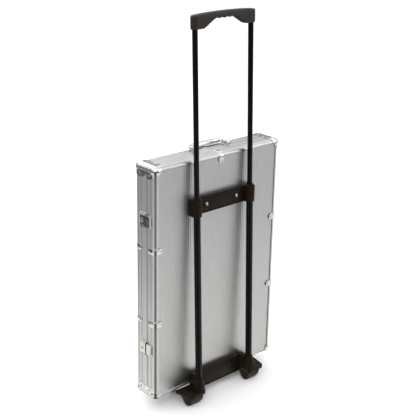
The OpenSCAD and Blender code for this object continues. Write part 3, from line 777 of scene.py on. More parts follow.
def latch_bodies():
    shape = Shape()
    cheek = [(1.2, 0.2), (21.8, 0.2)] + arc((18.2, 1.8), 3.6, 0, 90, 6) + arc((5.2, 1.4), 4.0, 90, 180, 6)
    pin = mirrored([(1.0, 16.9), (1.5, 16.9), (1.5, 17.35), (0, 17.35)])
    for z in LATCH_Z:
        place = latch_place(z)
        shape.block((0, 1, -HOUSING_HALF), (1, HOUSING_END, HOUSING_HALF), 0.35, 2, place)
        for w in (-HOUSING_HALF, HOUSING_HALF - CHEEK_T):
            latch_sweep(shape, place, cheek, w, w + CHEEK_T)
        shape.lathe(pin, (PIVOT_OUT, LEVER_PIVOT, 0), "z", 20, matrix=place)
    shape.finish("latch_housings", CHROME, "base_half", ["latch_bodies", "latch_pins"], bevel=0.2)


def latch_lever(name, z):
    """The cover that is pulled open: crowned, with a raised rim and a round key seat."""
    place = latch_place(z)
    shape = Shape()
    rows = []
    for i in range(25):
        w = -LEVER_HALF + 2 * LEVER_HALF * i / 24
        rise = 0.35 * math.cos(math.pi * w / (2 * LEVER_HALF))
        rim = 0.35 if abs(w) > LEVER_HALF - 1.2 else 0.0
        top = 5.5 + rise + rim
        section = [(4.5, 1.5), (5.2, 1.45), (5.7 + rim, 1.8), (5.85 + rim, 2.6), (top, 3.6), (top, 7),
                   (top, 12), (top, 17), (5.6 + rim, 19.4), (5.2, 20.3), (4.5, 20.4)]
        rows.append([Vector((out, across, w)) for out, across in section])
    shape.grid(rows, closed_columns=True, caps=True, matrix=place)
    seat = [(3.3, 6.0), (3.3, 6.4), (3.9, 6.45), (4.6, 6.2), (4.9, 5.6)]
    shape.lathe(seat, (0, KEY_AT, 0), "x", 32, matrix=place)
    for w in (-14.3, 14.3):
        for p in (LEVER_PIVOT, HOOK_PIVOT):
            eye = arc((p, PIVOT_OUT), 1.75, 180, 360, 10) + [(p + 1.75, 4.7), (p - 1.75, 4.7)]
            latch_sweep(shape, place, eye, w - 0.9, w + 0.9)
    shape.finish(f"latch_lever_cover_{name}", CHROME, f"latch_lever_{name}", [f"lever_{name}"])


def latch_hook(name, z):
    """The flat hook with its rolled end, which lies over the catch."""
    place = latch_place(z)
    shape = Shape()
    outline = ([(6.5, 2.45), (6.5, 3.95), (-12.5, 3.95)] + arc((-14.6, 3.95), 1.7, 40, 180, 8)
               + [(-16.3, 2.5), (-13.0, 2.42)])
    latch_sweep(shape, place, outline, -HOOK_HALF, HOOK_HALF)
    pin = mirrored([(1.5, HOOK_HALF), (1.0, 12.8), (1.0, 14.6), (0, 14.6)])
    shape.lathe(pin, (PIVOT_OUT, HOOK_PIVOT, 0), "z", 20, matrix=place)
    shape.finish(f"latch_hook_plate_{name}", CHROME, f"latch_hook_{name}", [f"hook_{name}"],
                 bevel=0.25)


def key_cylinder(name, z):
    """The brass key plug with its keyway."""
    place = latch_place(z)
    shape = Shape()
    plug = [(0, 2.0), (3.2, 2.0), (3.2, 6.1), (3.0, 6.4), (2.3, 6.5)]
    shape.lathe(plug, (0, KEY_AT, 0), "x", 40, matrix=place)
    rows = []
    for r in (2.3, 1.7, 1.1, 0.55, 0.001):
        row = []
        for i in range(40):
            a = 2 * math.pi * i / 40
            p, w = r * math.cos(a), r * math.sin(a)
            in_slot = (abs(w) < 0.42 and abs(p) < 1.9) or math.hypot(p, w) < 0.6
            row.append(Vector((5.2 if in_slot else 6.5, KEY_AT + p, w)))
        rows.append(row)
    shape.grid(rows, closed_columns=True, matrix=place)
    shape.finish(f"key_plug_{name}", BRASS, f"latch_key_{name}", [f"key_cylinder_{name}"])


# ---- Hinges ----------------------------------------------------------------

def dress_node(node, material, bevel=0.0):
    """Gives a CAD node that stays its finish."""
    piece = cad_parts[node]
    piece.data.materials.clear()
    piece.data.materials.append(material)
    if bevel:
        add_bevel(piece, bevel)


def hinge_parts():
    dress_node("hinge_leaves_lid", ZINC, 0.25)
    dress_node("hinge_leaves_base", ZINC, 0.25)
    dress_node("hinge_pins", ZINC, 0.3)


# ---- Carry handle ----------------------------------------------------------

HANDLE_X = 6.0
HANDLE_Y = 36.0
HANDLE_Z = CASE_H + 7.0
HANDLE_HALF = 50.0
EAR_R = 5.0


def superellipse(half_a, half_b, power, count):
    """Closed cross-section between an ellipse and a rectangle."""
    points = []
    for i in range(count):
        t = 2 * math.pi * i / count
        c, s = math.cos(t), math.sin(t)
        points.append((half_a * math.copysign(abs(c) ** (2 / power), c),
                       half_b * math.copysign(abs(s) ** (2 / power), s)))
    return points


def handle_line():
    """The folded handle's middle line, from one pivot to the other, with its half sizes."""
    reach, bend = 24.5, 13.0
    left = [(-HANDLE_HALF, 0.0), (-HANDLE_HALF, 5.0), (-HANDLE_HALF, reach - bend)]
    left += arc((-HANDLE_HALF + bend, reach - bend), bend, 180, 90, 8)[1:]
    bar = [(x, reach + 0.8 * (1 - (x / 36.0) ** 2)) for x in (-34, -28, -20, -10, 0, 10, 20, 28, 34)]
    return left + bar + [(-x, y) for x, y in reversed(left)]


def carry_handle():
    """A plated bow whose grip swells in the middle, folded flat towards the far side."""
    line = handle_line()
    shape = Shape()
    rows = []
    for i, (x, y) in enumerate(line):
        before, after = line[max(i - 1, 0)], line[min(i + 1, len(line) - 1)]
        along = Vector((after[0] - before[0], after[1] - before[1], 0)).normalized()
        side = Vector((along.y, -along.x, 0))
        swell = max(0.0, 1 - (abs(x) / 46.0) ** 4)
        wide = 3.2 + 3.0 * swell
        tall = 4.0 + 1.4 * swell
        section = superellipse(wide, tall, 2.6, 24)
        place = Vector((HANDLE_X + x, HANDLE_Y + y, HANDLE_Z))
        rows.append([place + side * a + Vector((0, 0, b)) for a, b in section])
    shape.grid(rows, closed_columns=True, caps=True)
    for s in (-1, 1):
        centre = (HANDLE_X + s * HANDLE_HALF, HANDLE_Y, HANDLE_Z)
        shape.lathe(mirrored([(4.5, 2.7), (3.9, 3.3), (0, 3.3)]), centre, "x", 32)
    shape.finish("carry_handle_bow", CHROME, "top_handle", ["carry_handle"], sharp=40)


def handle_brackets():
    shape = Shape()
    for s in (-1, 1):
        x = HANDLE_X + s * HANDLE_HALF
        plate = rounded_outline(x - 9, HANDLE_Y - 8, x + 9, HANDLE_Y + 8, 3, 4)
        shape.prism(plate, "z", CASE_H, CASE_H + 1.5, 0.4, 2)
        ear = ([(HANDLE_Y + EAR_R, CASE_H + 1)] + arc((HANDLE_Y, HANDLE_Z), EAR_R, 0, 180, 12)
               + [(HANDLE_Y - EAR_R, CASE_H + 1)])
        for e in (-1, 1):
            shape.prism(ear, "x", x + e * 5 - 1.25, x + e * 5 + 1.25, 0.4, 2)
            rivet_at(shape, PLAIN, Vector((x, HANDLE_Y + e * 5.976, CASE_H + 1.45)), Vector((0, 0, 1)))
    shape.finish("handle_bracket_pair", CHROME, "base_half", ["handle_brackets"])
    pins = Shape()
    for s in (-1, 1):
        x = HANDLE_X + s * HANDLE_HALF
        pin = mirrored([(2.0, 6.2), (2.5, 6.4), (1.9, 6.9), (0, 7.0)])
        pins.lathe(pin, (x, HANDLE_Y, HANDLE_Z), "x", 24)
    pins.finish("handle_pin_pair", ZINC, "base_half", ["handle_pins"])


# ---- Trolley ---------------------------------------------------------------

TUBE_X = 82.0
TUBE_Y = -15.5
OUTER_R = 8.0
INNER_R = 6.0
TUBE_WALL = 1.2
SLEEVE_R = 11.6
BRACKET_SCREW_X = 46.0
BASE_SCREW = (40.0, -9.0, 14.0)
GRIP_SCREW_Z = 13.0
BRACKET_Z = 436.0
BRACKET_TOP = 476.0
SIDES = [("left", -1), ("right", 1)]
LEAN_Z = (BRACKET_Z + BRACKET_TOP) / 2
LEAN = math.radians(2.2)
LEAN_AT = Vector((0, TUBE_Y, LEAN_Z))
LEANING = Matrix.Translation(LEAN_AT) @ Matrix.Rotation(-LEAN, 4, "X") @ Matrix.Translation(-LEAN_AT)


def along_tube(corner, radius, end):
    """Height along the leaning tubes of a round end, from the box corner it reaches; end is -1 or 1."""
    return LEAN_Z + (case_mm(corner).z - LEAN_Z - end * radius * math.sin(LEAN)) / math.cos(LEAN)


TUBE_TOP = along_tube(high("outer_tube_left"), OUTER_R, 1)
INNER_FOOT = along_tube(low("inner_tube_left"), INNER_R, -1)


def tubes():
    bottom = along_tube(low("outer_tube_left"), OUTER_R, -1)
    top = along_tube(high("inner_tube_left"), INNER_R, 1)
    for name, s in SIDES:
        shape = Shape()
        profile = [(OUTER_R - TUBE_WALL, bottom), (OUTER_R, bottom), (OUTER_R, TUBE_TOP - 0.4),
                   (OUTER_R - 0.4, TUBE_TOP), (OUTER_R - TUBE_WALL, TUBE_TOP)]
        shape.lathe(profile, (s * TUBE_X, TUBE_Y, 0), "z", 64, closed=True, matrix=LEANING)
        shape.finish(f"fixed_tube_{name}", TUBE, "lid_half", [f"outer_tube_{name}"])
        shape = Shape()
        profile = [(INNER_R - 1, INNER_FOOT), (INNER_R, INNER_FOOT + 0.3),
                   (INNER_R, top), (INNER_R - 1, top)]
        shape.lathe(profile, (s * TUBE_X, TUBE_Y, 0), "z", 56, closed=True, matrix=LEANING)
        shape.finish(f"sliding_tube_{name}", TUBE, "pull_handle", [f"inner_tube_{name}"])


def tube_collars():
    shape = Shape()
    for _, s in SIDES:
        profile = [(INNER_R + 0.05, -12), (6.75, -12), (6.75, 0), (8.7, 0), (9.0, 0.4), (9.0, 1.3),
                   (8.2, 2.0), (6.5, 2.0), (INNER_R + 0.05, 1.6)]
        shape.lathe(profile, (s * TUBE_X, TUBE_Y, TUBE_TOP), "z", 48, closed=True, matrix=LEANING)
    shape.finish("tube_guide_collars", PLASTIC, "lid_half", ["tube_collars"])


def end_plugs():
    shape = Shape()
    for _, s in SIDES:
        profile = [(0, -8), (6.2, -8), (6.75, -7.4), (6.75, -5), (6.4, -4.6), (6.4, -3.4), (6.75, -3),
                   (6.75, 0), (5, 0), (5, 8), (0, 8)]
        shape.lathe(profile, (s * TUBE_X, TUBE_Y, INNER_FOOT), "z", 40, matrix=LEANING)
    shape.finish("sliding_tube_plugs", PLASTIC, "pull_handle", ["tube_end_plugs"])


def screw_head(shape, place, radius, normal):
    """A pan head with a cross recess."""
    rows = []
    count = 48
    for r in (1.0, 0.99, 0.93, 0.82, 0.68, 0.6, 0.5, 0.4, 0.3, 0.2, 0.12, 0.001):
        row = []
        for i in range(count):
            a = 2 * math.pi * i / count
            p, q = r * math.cos(a), r * math.sin(a)
            dome = 0.62 * math.sqrt(max(1 - (r * 0.985) ** 2, 0.0)) ** 0.7
            in_cross = r < 0.62 and min(abs(p), abs(q)) < 0.13
            height = dome - (0.32 if in_cross else 0.0)
            row.append(Vector((p * radius, q * radius, height * radius)))
        rows.append(row)
    base = [Vector((p.x, p.y, -0.3)) for p in rows[0]]
    shape.grid([base] + rows, closed_columns=True, matrix=facing(place, normal))


def trolley_bracket():
    """The upper bracket: two sleeves round the tubes and a panelled plate between them."""
    shape = Shape()
    middle_z = (BRACKET_Z + BRACKET_TOP) / 2
    r = SLEEVE_R
    for _, s in SIDES:
        x = s * TUBE_X
        outline = arc((x, TUBE_Y), r, 180, 360, 24) + [(x + r, -0.05), (x - r, -0.05)]
        shape.prism(outline, "z", BRACKET_Z, BRACKET_TOP, 1.6, 4)
        nose = [(x - 2.2, TUBE_Y - r + 0.6), (x - 1.4, TUBE_Y - r - 0.5), (x + 1.4, TUBE_Y - r - 0.5),
                (x + 2.2, TUBE_Y - r + 0.6)]
        shape.prism(nose, "z", BRACKET_Z + 3, BRACKET_TOP - 3, 0.6, 2)
    inner = TUBE_X - r + 1
    shape.block((-inner, -8, BRACKET_Z), (inner, -0.05, BRACKET_TOP), 1.2, 3)
    rim = 2.4
    for z in (BRACKET_Z, BRACKET_TOP - rim):
        shape.block((-inner, -9.2, z + 0.01), (inner, -6, z + rim - 0.01), 0.7, 2)
    seat = [(7.2, 0.0), (7.2, -0.9), (6.6, -1.1), (5.6, -0.5), (0, -0.5)]
    for _, s in SIDES:
        shape.lathe(seat, (s * BRACKET_SCREW_X, -8, middle_z), "y", 40)
    shape.finish("trolley_upper_bracket", PLASTIC, "lid_half", ["trolley_bracket"])
    screws = Shape()
    for _, s in SIDES:
        screw_head(screws, Vector((s * BRACKET_SCREW_X, -8.6, middle_z)), 4.2, Vector((0, -1, 0)))
    screws.finish("bracket_screw_heads", SCREW, "lid_half", ["bracket_screws"])


WHEEL_X = 94.0
WHEEL_Y = -26.0
WHEEL_R = 12.5
WHEEL_Z = FLOOR_Z + WHEEL_R
PLATE_IN = 71.0
PLATE_OUT = 127.0
PLATE_TIP = 119.0
PLATE_Z = -1.0
PLATE_TOP = 3.0
RIM_TOP = 4.5
FOOT_REACH = 48.0
SOCKET_R = 10.6
SOCKET_TOP = 36.0
SOCKET_Y = TUBE_Y - (LEAN_Z - SOCKET_TOP / 2) * math.tan(LEAN)
CROSS_LOW = -12.4
CROSS_TOP = 33.4
CHEEK_AT = 19.0
MIRROR = Matrix.Scale(-1, 4, (1, 0, 0))


def plate_edge(inset):
    """The foot plate's front and side edges from the inner rear to the outer rear, for the right side."""
    x0, x1, front, r = PLATE_IN + inset, PLATE_TIP - inset, -FOOT_REACH + inset, 7.0 - inset
    path = [(x0, -0.1), (x0, -14.0), (x0, -28.0)] + arc((x0 + r, front + r), r, 180, 270, 7)
    path += arc((x1 - r, front + r), r, 270, 348, 7)
    return path + [(PLATE_TIP + 4 - inset, -21.0), (PLATE_OUT - inset, -0.1)]


def foot_plate(shape, place):
    """The flared plate over a wheel, with a rounded rim that also turns down round its edge."""
    shape.prism(plate_edge(0.6), "z", PLATE_Z, PLATE_TOP, 0.3, 2, place)
    section = [(0.4, -4.6), (0.0, -4.0), (0.0, 3.6), (0.35, 4.3), (1.1, RIM_TOP), (1.9, 4.3), (2.3, 3.6),
               (2.5, 1.5), (2.5, -4.0), (2.1, -4.6)]
    rings = [[Vector((x, y, z)) for x, y in plate_edge(inset)] for inset, z in section]
    rows = [list(row) for row in zip(*rings)]
    shape.grid(rows, closed_columns=True, caps=True, matrix=place)


def cut_off(part, at, outwards):
    """Cuts a bmesh off at a plane and closes the cut."""
    geometry = list(part.verts) + list(part.edges) + list(part.faces)
    cut = bmesh.ops.bisect_plane(part, geom=geometry, plane_co=at, plane_no=outwards, clear_outer=True)
    edges = [item for item in cut["geom_cut"] if isinstance(item, bmesh.types.BMEdge)]
    bmesh.ops.edgenet_fill(part, edges=edges)


def foot_socket(shape, place):
    """The socket that holds a tube: flared foot, neck back to the crossbar and a rib on its front."""
    flare = [(0, 1.0), (14.7, 1.0), (14.7, 3.4), (14.3, 5.4), (13.8, 8.6), (13.0, 14.0), (11.9, 21.0),
             (10.7, 30.0), (10.4, 34.6), (9.7, 36.0), (8.6, 36.0), (8.05, 35.2), (8.05, 26), (0, 26)]
    part = Shape()
    part.lathe(flare, (TUBE_X, TUBE_Y, 0), "z", 56, matrix=LEANING)
    cut_off(part.bm, (PLATE_IN + 0.4, 0, 0), (-1, 0, 0))
    shape.merge(part.bm, place)
    shape.block((PLATE_IN + 0.6, SOCKET_Y + 5, PLATE_Z), (TUBE_X + 2, -0.1, SOCKET_TOP - 0.6), 1.4, 3, place)
    shape.block((PLATE_IN - 0.4, -18, CROSS_LOW), (PLATE_IN + 3, -0.15, SOCKET_TOP - 1.2), 0.9, 2, place)
    front = SOCKET_Y - SOCKET_R
    rib = [(front + 6, 33.5), (front + 0.3, 33.5), (front - 1.0, 31.5), (front - 1.8, 24.0),
           (-FOOT_REACH + 1.4, 10.0), (-FOOT_REACH + 0.6, 3.0), (front + 6, 3.0)]
    shape.prism(rib, "x", TUBE_X - 1.5, TUBE_X + 1.5, 0.6, 3, place)


def wheel_cheeks(shape, place):
    """The two tapering fenders that hold a wheel's axle."""
    outline = ([(-41.5, -2.0)] + arc((WHEEL_Y, WHEEL_Z), 11, 190, 318, 20)
               + [(-0.1, -7.0), (-0.1, 0.5), (-41.5, 0.5)])
    for e in (-1, 1):
        x = WHEEL_X + e * CHEEK_AT
        shape.prism(outline, "x", x - 1.5, x + 1.5, 0.8, 3, place)
        boss = [(0, 0), (5.6, 0), (5.6, 0.9), (4.9, 1.4), (3.4, 1.4), (3.2, 0.9), (0, 0.9)]
        turn = Matrix.Translation((x + e * 1.4, WHEEL_Y, WHEEL_Z)) @ Matrix.Scale(e, 4, (1, 0, 0))
        shape.lathe(boss, (0, 0, 0), "x", 32, matrix=place @ turn)


def trolley_base():
    shape = Shape()
    shape.block((-TUBE_X, -9, CROSS_LOW), (TUBE_X, -0.1, CROSS_TOP), 1.2, 3)
    for z in (CROSS_TOP - 2.4, CROSS_LOW + 0.2):
        shape.block((-PLATE_IN + 1, -10.2, z), (PLATE_IN - 1, -6, z + 2.2), 0.7, 2)
    for place in (MIRROR, PLAIN):
        foot_plate(shape, place)
        foot_socket(shape, place)
        wheel_cheeks(shape, place)
    shape.finish("trolley_base_moulding", PLASTIC, "lid_half", ["trolley_base"])
    screws = Shape()
    for _, s in SIDES:
        x, y, z = BASE_SCREW
        screw_head(screws, Vector((s * x, y, z)), 4.0, Vector((0, -1, 0)))
    screws.finish("base_screw_heads", DARK_SCREW, "lid_half", ["trolley_base_screws"])


TYRE = mirrored([(WHEEL_R, 5.6), (12.1, 6.0), (12.1, 6.8), (WHEEL_R, 7.2), (WHEEL_R, 12.5),
                 (12.3, 14.6), (11.7, 15.9), (10.6, 16.5), (9.0, 16.4), (8.55, 15.8)])
HUB = mirrored([(8.5, 16.0), (7.6, 16.0), (7.2, 14.6), (5.0, 15.0), (4.6, 16.0), (3.05, 16.0)])
AXLE = mirrored([(3.0, 20.1), (2.6, 20.5), (0, 20.5)])
SPOKES = 5


def wheels():
    axles = Shape()
    for name, s in SIDES:
        centre = (s * WHEEL_X, WHEEL_Y, WHEEL_Z)
        body = f"wheel_{name}"
        tyre = Shape()
        tyre.lathe(TYRE, centre, "x", 72, closed=True)
        tyre.finish(f"roller_tyre_{name}", RUBBER, body, [f"wheel_tyre_{name}"])
        hub = Shape()
        hub.lathe(HUB, centre, "x", 48, closed=True)
        for e in (-1, 1):
            for i in range(SPOKES):
                turn = Matrix.Translation(centre) @ Matrix.Rotation(2 * math.pi * i / SPOKES, 4, "X")
                x0, x1 = sorted((e * 14.0, e * 15.9))
                hub.block((x0, -0.8, 4.4), (x1, 0.8, 7.8), 0.3, 1, turn)
        hub.finish(f"roller_hub_{name}", WHEEL_PLASTIC, body, [f"wheel_hub_{name}"])
        axles.lathe(AXLE, centre, "x", 28)
    axles.finish("wheel_axle_rods", ZINC, "lid_half", ["wheel_axles"])


GRIP_HALF = 91.5
GRIP_R = 9.5
GRIP_BLOCK = 29.0
GRIP_SLANT = 33.0
GRIP_H = 31.5
GRIP_BAR = 14.0
GRIP_CROWN = 4.0
SCALLOPS = 4


def grip_top(x):
    crown = GRIP_CROWN * (0.5 - (x / GRIP_HALF) ** 2)
    drop = max(0.0, abs(x) - (GRIP_HALF - 5)) ** 2 * 0.12
    return GRIP_H + crown - drop


def grip_bottom(x):
    """Underside: flat under each end block, a slant, then finger scallops."""
    inner = GRIP_HALF - GRIP_BLOCK - GRIP_SLANT
    bar = GRIP_H - GRIP_BAR
    if abs(x) >= GRIP_HALF - GRIP_BLOCK:
        return max(0.0, abs(x) - (GRIP_HALF - 2)) ** 2 * 0.4
    if abs(x) > inner:
        t = (GRIP_HALF - GRIP_BLOCK - abs(x)) / GRIP_SLANT
        return bar * (0.75 * t + 0.25 * t * t * (3 - 2 * t))
    return bar + 1.6 * abs(math.sin(math.pi * SCALLOPS * (x + inner) / (2 * inner)))


def trolley_grip():
    """The pull grip: a bar with finger scallops between two blocks round the tubes."""
    bottom = along_tube(low("trolley_grip"), GRIP_R, -1)
    shape = Shape()
    rows = []
    count = 150
    for i in range(count + 1):
        x = -GRIP_HALF * math.cos(math.pi * i / count)
        x = max(-GRIP_HALF + 0.02, min(GRIP_HALF - 0.02, x))
        end = max(0.0, abs(x) - (GRIP_HALF - GRIP_R))
        half_d = math.sqrt(GRIP_R ** 2 - end ** 2)
        top, under = grip_top(x), grip_bottom(x)
        middle, tall = (top + under) / 2, (top - under) / 2
        power = 2.9 + 3.0 * max(0.0, (tall - 7) / 7)
        section = superellipse(half_d, tall, power, 40)
        rows.append([Vector((x, TUBE_Y + a, bottom + middle + b)) for a, b in section])
    shape.grid(rows, closed_columns=True, caps=True, matrix=LEANING)
    for _, s in SIDES:
        shape.lathe([(INNER_R + 0.05, -0.9), (7.6, -0.9), (8.2, 0.0), (8.2, 2.0), (INNER_R + 0.05, 2.0)],
                    (s * TUBE_X, TUBE_Y, bottom + 0.9), "z", 40, closed=True, matrix=LEANING)
        recess = [(0, -1.2), (2.3, -1.2), (2.6, 0.1), (3.2, 0.25), (3.5, 0.0), (3.5, -1.0)]
        at = Vector((s * (GRIP_HALF - 0.25), TUBE_Y, bottom + GRIP_SCREW_Z))
        turn = Matrix.Translation(at) @ Matrix.Scale(s, 4, (1, 0, 0))
        shape.lathe(recess, (0, 0, 0), "x", 28, matrix=LEANING @ turn)
    shape.finish("pull_grip", PAINTED_LIT_GRIP_PLASTIC, "pull_handle", ["trolley_grip"], sharp=50)
    screws = Shape()
    for _, s in SIDES:
        at = LEANING @ Vector((s * (GRIP_HALF - 0.9), TUBE_Y, bottom + GRIP_SCREW_Z))
        screw_head(screws, at, 2.1, Vector((s, 0, 0)))
    screws.finish("grip_end_screws", DARK_SCREW, "pull_handle", ["grip_screws"])


# ---- Feet and inside -------------------------------------------------------

STAND_X = 94.5
STAND_Y = 52.0
PAD_TOP = FLOOR_Z + 3
STAND_CUP = [(13.6, -3.8), (12.4, -5.0), (11.9, -7.0), (9.4, PAD_TOP + 1.5), (9.0, PAD_TOP), (0, PAD_TOP)]
STAND_PAD = [(0, FLOOR_Z), (8.8, FLOOR_Z), (9.7, FLOOR_Z + 0.6), (10.0, FLOOR_Z + 1.4),
             (10.0, PAD_TOP - 0.4), (9.4, PAD_TOP + 0.1), (0, PAD_TOP + 0.1)]


def stand_feet():
    feet = Shape()
    pads = Shape()
    for s in (-1, 1):
        x, y = s * STAND_X, STAND_Y
        feet.prism(rounded_outline(x - 17, y - 13, x + 17, y + 13, 5, 6), "z", -4, 0, 0.9, 3)
        feet.lathe(STAND_CUP, (x, y, 0), "z", 48)
        for w in (-13, 13):
            screw_head(feet, Vector((x + w, y, -4.0)), 1.9, Vector((0, 0, -1)))
        pads.lathe(STAND_PAD, (x, y, 0), "z", 48)
    feet.finish("stand_foot_pair", PLASTIC, "base_half", ["stand_feet"])
    pads.finish("stand_foot_pads", RUBBER, "base_half", ["foot_pads"])


ROWS = 10
ROW_PITCH = 41.5
TROUGH_R = 20.5
TROUGH_START = 3.0
TROUGH_END = TROUGH_START + 168.0
TRAY_Y = CASE_D - LIP_T - PANEL_T - 2.0
RAIL_H = 22.0
RIDGE_H = 14.0
ROWS_Z = WALL_T + 8.0
ROWS_TOP = ROWS_Z + ROWS * ROW_PITCH


def rail(shape, x0, x1, z0, z1):
    shape.block((x0, TRAY_Y - RAIL_H, z0), (x1, TRAY_Y + 0.5, z1), 1.4, 3)


def chip_ridge(shape, k, s):
    """The hollow-sided ridge between two rows of chips, with a rounded crest."""
    z = ROWS_Z + k * ROW_PITCH
    half = ROW_PITCH / 2 - 1.5
    points = []
    for i in range(17):
        t = -half + half * i / 16
        down = TROUGH_R - math.sqrt(max(TROUGH_R ** 2 - (t + ROW_PITCH / 2) ** 2, 0.0))
        points.append((t, down))
    points = [(t, d) for t, d in points if d <= RIDGE_H - 0.8] + [(-0.9, RIDGE_H - 0.2), (0.0, RIDGE_H)]
    points += [(-t, d) for t, d in reversed(points[:-1])]
    if k == 0:
        points = [(0.0, 0.0)] + [(t, d) for t, d in points if t >= 0]
    if k == ROWS:
        points = [(t, d) for t, d in points if t <= 0] + [(0.0, 0.0)]
    ends = (s * TROUGH_START, s * TROUGH_END)
    rows = [[Vector((x, TRAY_Y + 0.3 - d, z + t)) for t, d in points] for x in ends]
    shape.grid(rows, closed_columns=True, caps=True)


def chip_tray():
    """The flocked tray: troughs for the chips, and bays for cards and dice above them."""
    shape = Shape()
    inside = HALF_W - WALL_T
    shape.block((-inside, TRAY_Y, WALL_T), (inside, TRAY_Y + 2, CASE_H - WALL_T), 0.3, 1)
    for k in range(ROWS + 1):
        chip_ridge(shape, k, 1)
        chip_ridge(shape, k, -1)
    top = CASE_H - WALL_T
    for s in (-1, 1):
        x0, x1 = sorted((s * TROUGH_END, s * inside))
        rail(shape, x0, x1, WALL_T, top)
    for z0, z1 in ((WALL_T, ROWS_Z), (ROWS_TOP, ROWS_TOP + 8), (top - 8, top)):
        rail(shape, -TROUGH_END - 0.5, TROUGH_END + 0.5, z0, z1)
    rail(shape, -TROUGH_START, TROUGH_START, ROWS_Z - 0.5, ROWS_TOP + 0.5)
    for x in (-74, 22):
        rail(shape, x, x + 6, ROWS_TOP + 7, top - 7)
    nodes = ["tray_floor", "tray_side_rails", "tray_cross_rails", "tray_dividers", "tray_ridges"]
    shape.finish("chip_tray_moulding", FLOCK, "base_half", nodes, sharp=50)


LINING_GAP = 0.6
LINING_T = 12.0
EGG_PITCH = 19.0
EGG_DEPTH = 2.3
LINING_COLUMNS = 112
LINING_ROWS = 168


def lid_lining():
    """The convoluted foam that presses on the chips when the case is shut."""
    inside = HALF_W - WALL_T - LINING_GAP
    back = LIP_T + PANEL_T
    bottom, top = WALL_T + LINING_GAP, CASE_H - WALL_T - LINING_GAP
    turn = 2 * math.pi / EGG_PITCH
    rows = []
    for j in range(LINING_ROWS + 1):
        z = bottom + (top - bottom) * j / LINING_ROWS
        row = []
        for i in range(LINING_COLUMNS + 1):
            x = -inside + 2 * inside * i / LINING_COLUMNS
            edge = min(inside - abs(x), z - bottom, top - z)
            calm = min(1.0, edge / 14.0)
            wave = math.cos(turn * x) * math.cos(turn * (z - CASE_H / 2))
            roll = 2.2 * max(0.0, 1 - edge / 2.5) ** 2
            row.append(Vector((x, back + LINING_T - EGG_DEPTH * calm * (1 - wave) / 2 - roll, z)))
        rows.append(row)
    shape = Shape()
    shape.slab(rows, back)
    piece = shape.finish("lid_foam_lining", FOAM, "lid_half", ["lid_foam"], sharp=60)


# ---- The setting -----------------------------------------------------------

def paper_floor():
    """A wide pale floor, not part of the object."""
    mesh = bpy.data.meshes.new("studio_floor")
    size = 40.0
    corners = [(x * size, y * size, cad_low.z) for x, y in ((-1, -1), (1, -1), (1, 1), (-1, 1))]
    mesh.from_pydata(corners, [], [(0, 1, 2, 3)])
    floor = bpy.data.objects.new("studio_floor", mesh)
    bpy.context.scene.collection.objects.link(floor)
    m = Nodes("pale_floor", Roughness=0.7)
    m.set("Base Color", m.mix(m.noise(3), (0.93, 0.93, 0.93), (0.95, 0.95, 0.95)))
    mesh.materials.append(m.material)
    floor.visible_glossy = False


LIT_POINT = Vector((0, 0, 0.35))
LIGHTS = [("key", (-2.2, -1.6, 2.6), (1.6, 1.6), 35),
          ("fill", (2.4, -2.2, 1.4), (1.4, 2.0), 15),
          ("back", (0.5, 2.6, 2.2), (2.0, 1.2), 20)]


def area_light(name, place, size, power):
    data = bpy.data.lights.new(name, "AREA")
    data.shape = "RECTANGLE"
    data.size, data.size_y = size
    data.energy = power
    light = bpy.data.objects.new(name, data)
    bpy.context.scene.collection.objects.link(light)
    light.location = place
    light.rotation_euler = (LIT_POINT - Vector(place)).to_track_quat("-Z", "Y").to_euler()


SIDE_WALLS = (-0.72, 0.69, 0.0)
LOW_WALL = (1.06, 1.03, 0.99)
MIDDLE_WALL = (0.88, 0.895, 0.91)
HIGH_WALL = (0.22, 0.22, 0.23)
END_WALL = (0.05, 0.055, 0.065)
SCREEN = (0.07, 0.07, 0.08)
CEILING = (1.28, 1.28, 1.28)


def step_up(room, value, start, end):
    """A smooth step from 0 to 1."""
    return room.span(value, 0, 1, start, end, smooth=True)


def dark_screen(room, side, height):
    """1 inside a low dark band behind the left side of the case, else 0."""
    value = step_up(room, side, 0.82, 0.87)
    for step in (step_up(room, height, -0.425, -0.405), room.span(height, 1, 0, -0.30, -0.26, smooth=True)):
        value = room.calculate("Math", "MULTIPLY", value, step).outputs[0]
    return value


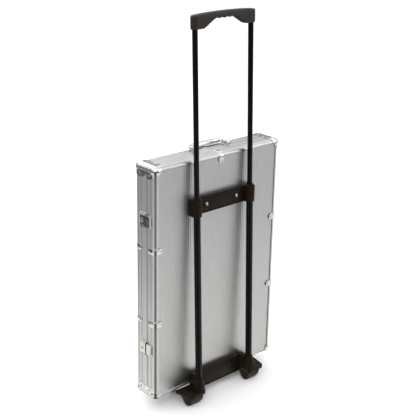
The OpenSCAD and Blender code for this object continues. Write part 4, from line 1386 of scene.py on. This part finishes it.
def studio():
    """A room with two bright side walls, a bright ceiling and darker ends."""
    world = bpy.data.worlds.new("studio")
    bpy.context.scene.world = world
    world.use_nodes = True
    room = Tree(world.node_tree, "Generated")
    height = room.add("SeparateXYZ", Vector=room.where).outputs["Z"]
    across = room.calculate("VectorMath", "DOT_PRODUCT", room.where, SIDE_WALLS).outputs["Value"]
    side = room.calculate("Math", "ABSOLUTE", across).outputs[0]
    wall = room.mix(step_up(room, height, -0.52, -0.32), LOW_WALL, MIDDLE_WALL)
    wall = room.mix(step_up(room, height, -0.27, -0.20), wall, HIGH_WALL)
    colour = room.mix(step_up(room, side, 0.12, 0.70), END_WALL, wall)
    colour = room.mix(dark_screen(room, across, height), colour, SCREEN)
    colour = room.mix(step_up(room, height, 0.10, 0.58), colour, CEILING)
    background = room.tree.nodes["Background"]
    room.feed(background.inputs["Color"], colour)
    background.inputs["Strength"].default_value = 1.0
    for light in LIGHTS:
        area_light(*light)


LENS = 82.14
CAMERA_AT = (-1.4012, -1.4953, 1.2162)
CAMERA_TURN = (1.21775, -0.01863, -0.73751)


def camera():
    data = bpy.data.cameras.new("camera")
    data.sensor_width = 36
    data.lens = LENS
    data.clip_end = 50
    seen = bpy.data.objects.new("camera", data)
    bpy.context.scene.collection.objects.link(seen)
    seen.location = CAMERA_AT
    seen.rotation_euler = CAMERA_TURN
    bpy.context.scene.camera = seen


def build():
    for half in HALVES:
        for side in SIDE_ANGLES:
            frame_side(half, side)
        ribbed_panel(half)
        corner_caps(half)
    edge_straps(LID, LID_CLAMPS)
    edge_straps(BASE, BASE_CLAMPS)
    rivet_heads(LID, LID_CLAMPS, 18.6)
    rivet_heads(BASE, BASE_CLAMPS, 19.0)
    latch_catches()
    latch_bodies()
    for name, z in zip(LATCH_NAMES, LATCH_Z):
        latch_lever(name, z)
        latch_hook(name, z)
        key_cylinder(name, z)
    hinge_parts()
    carry_handle()
    handle_brackets()
    tubes()
    tube_collars()
    end_plugs()
    trolley_bracket()
    trolley_base()
    wheels()
    trolley_grip()
    stand_feet()
    chip_tray()
    lid_lining()


build()
paper_floor()
studio()
camera()
bpy.context.scene.view_settings.view_transform = "Standard"
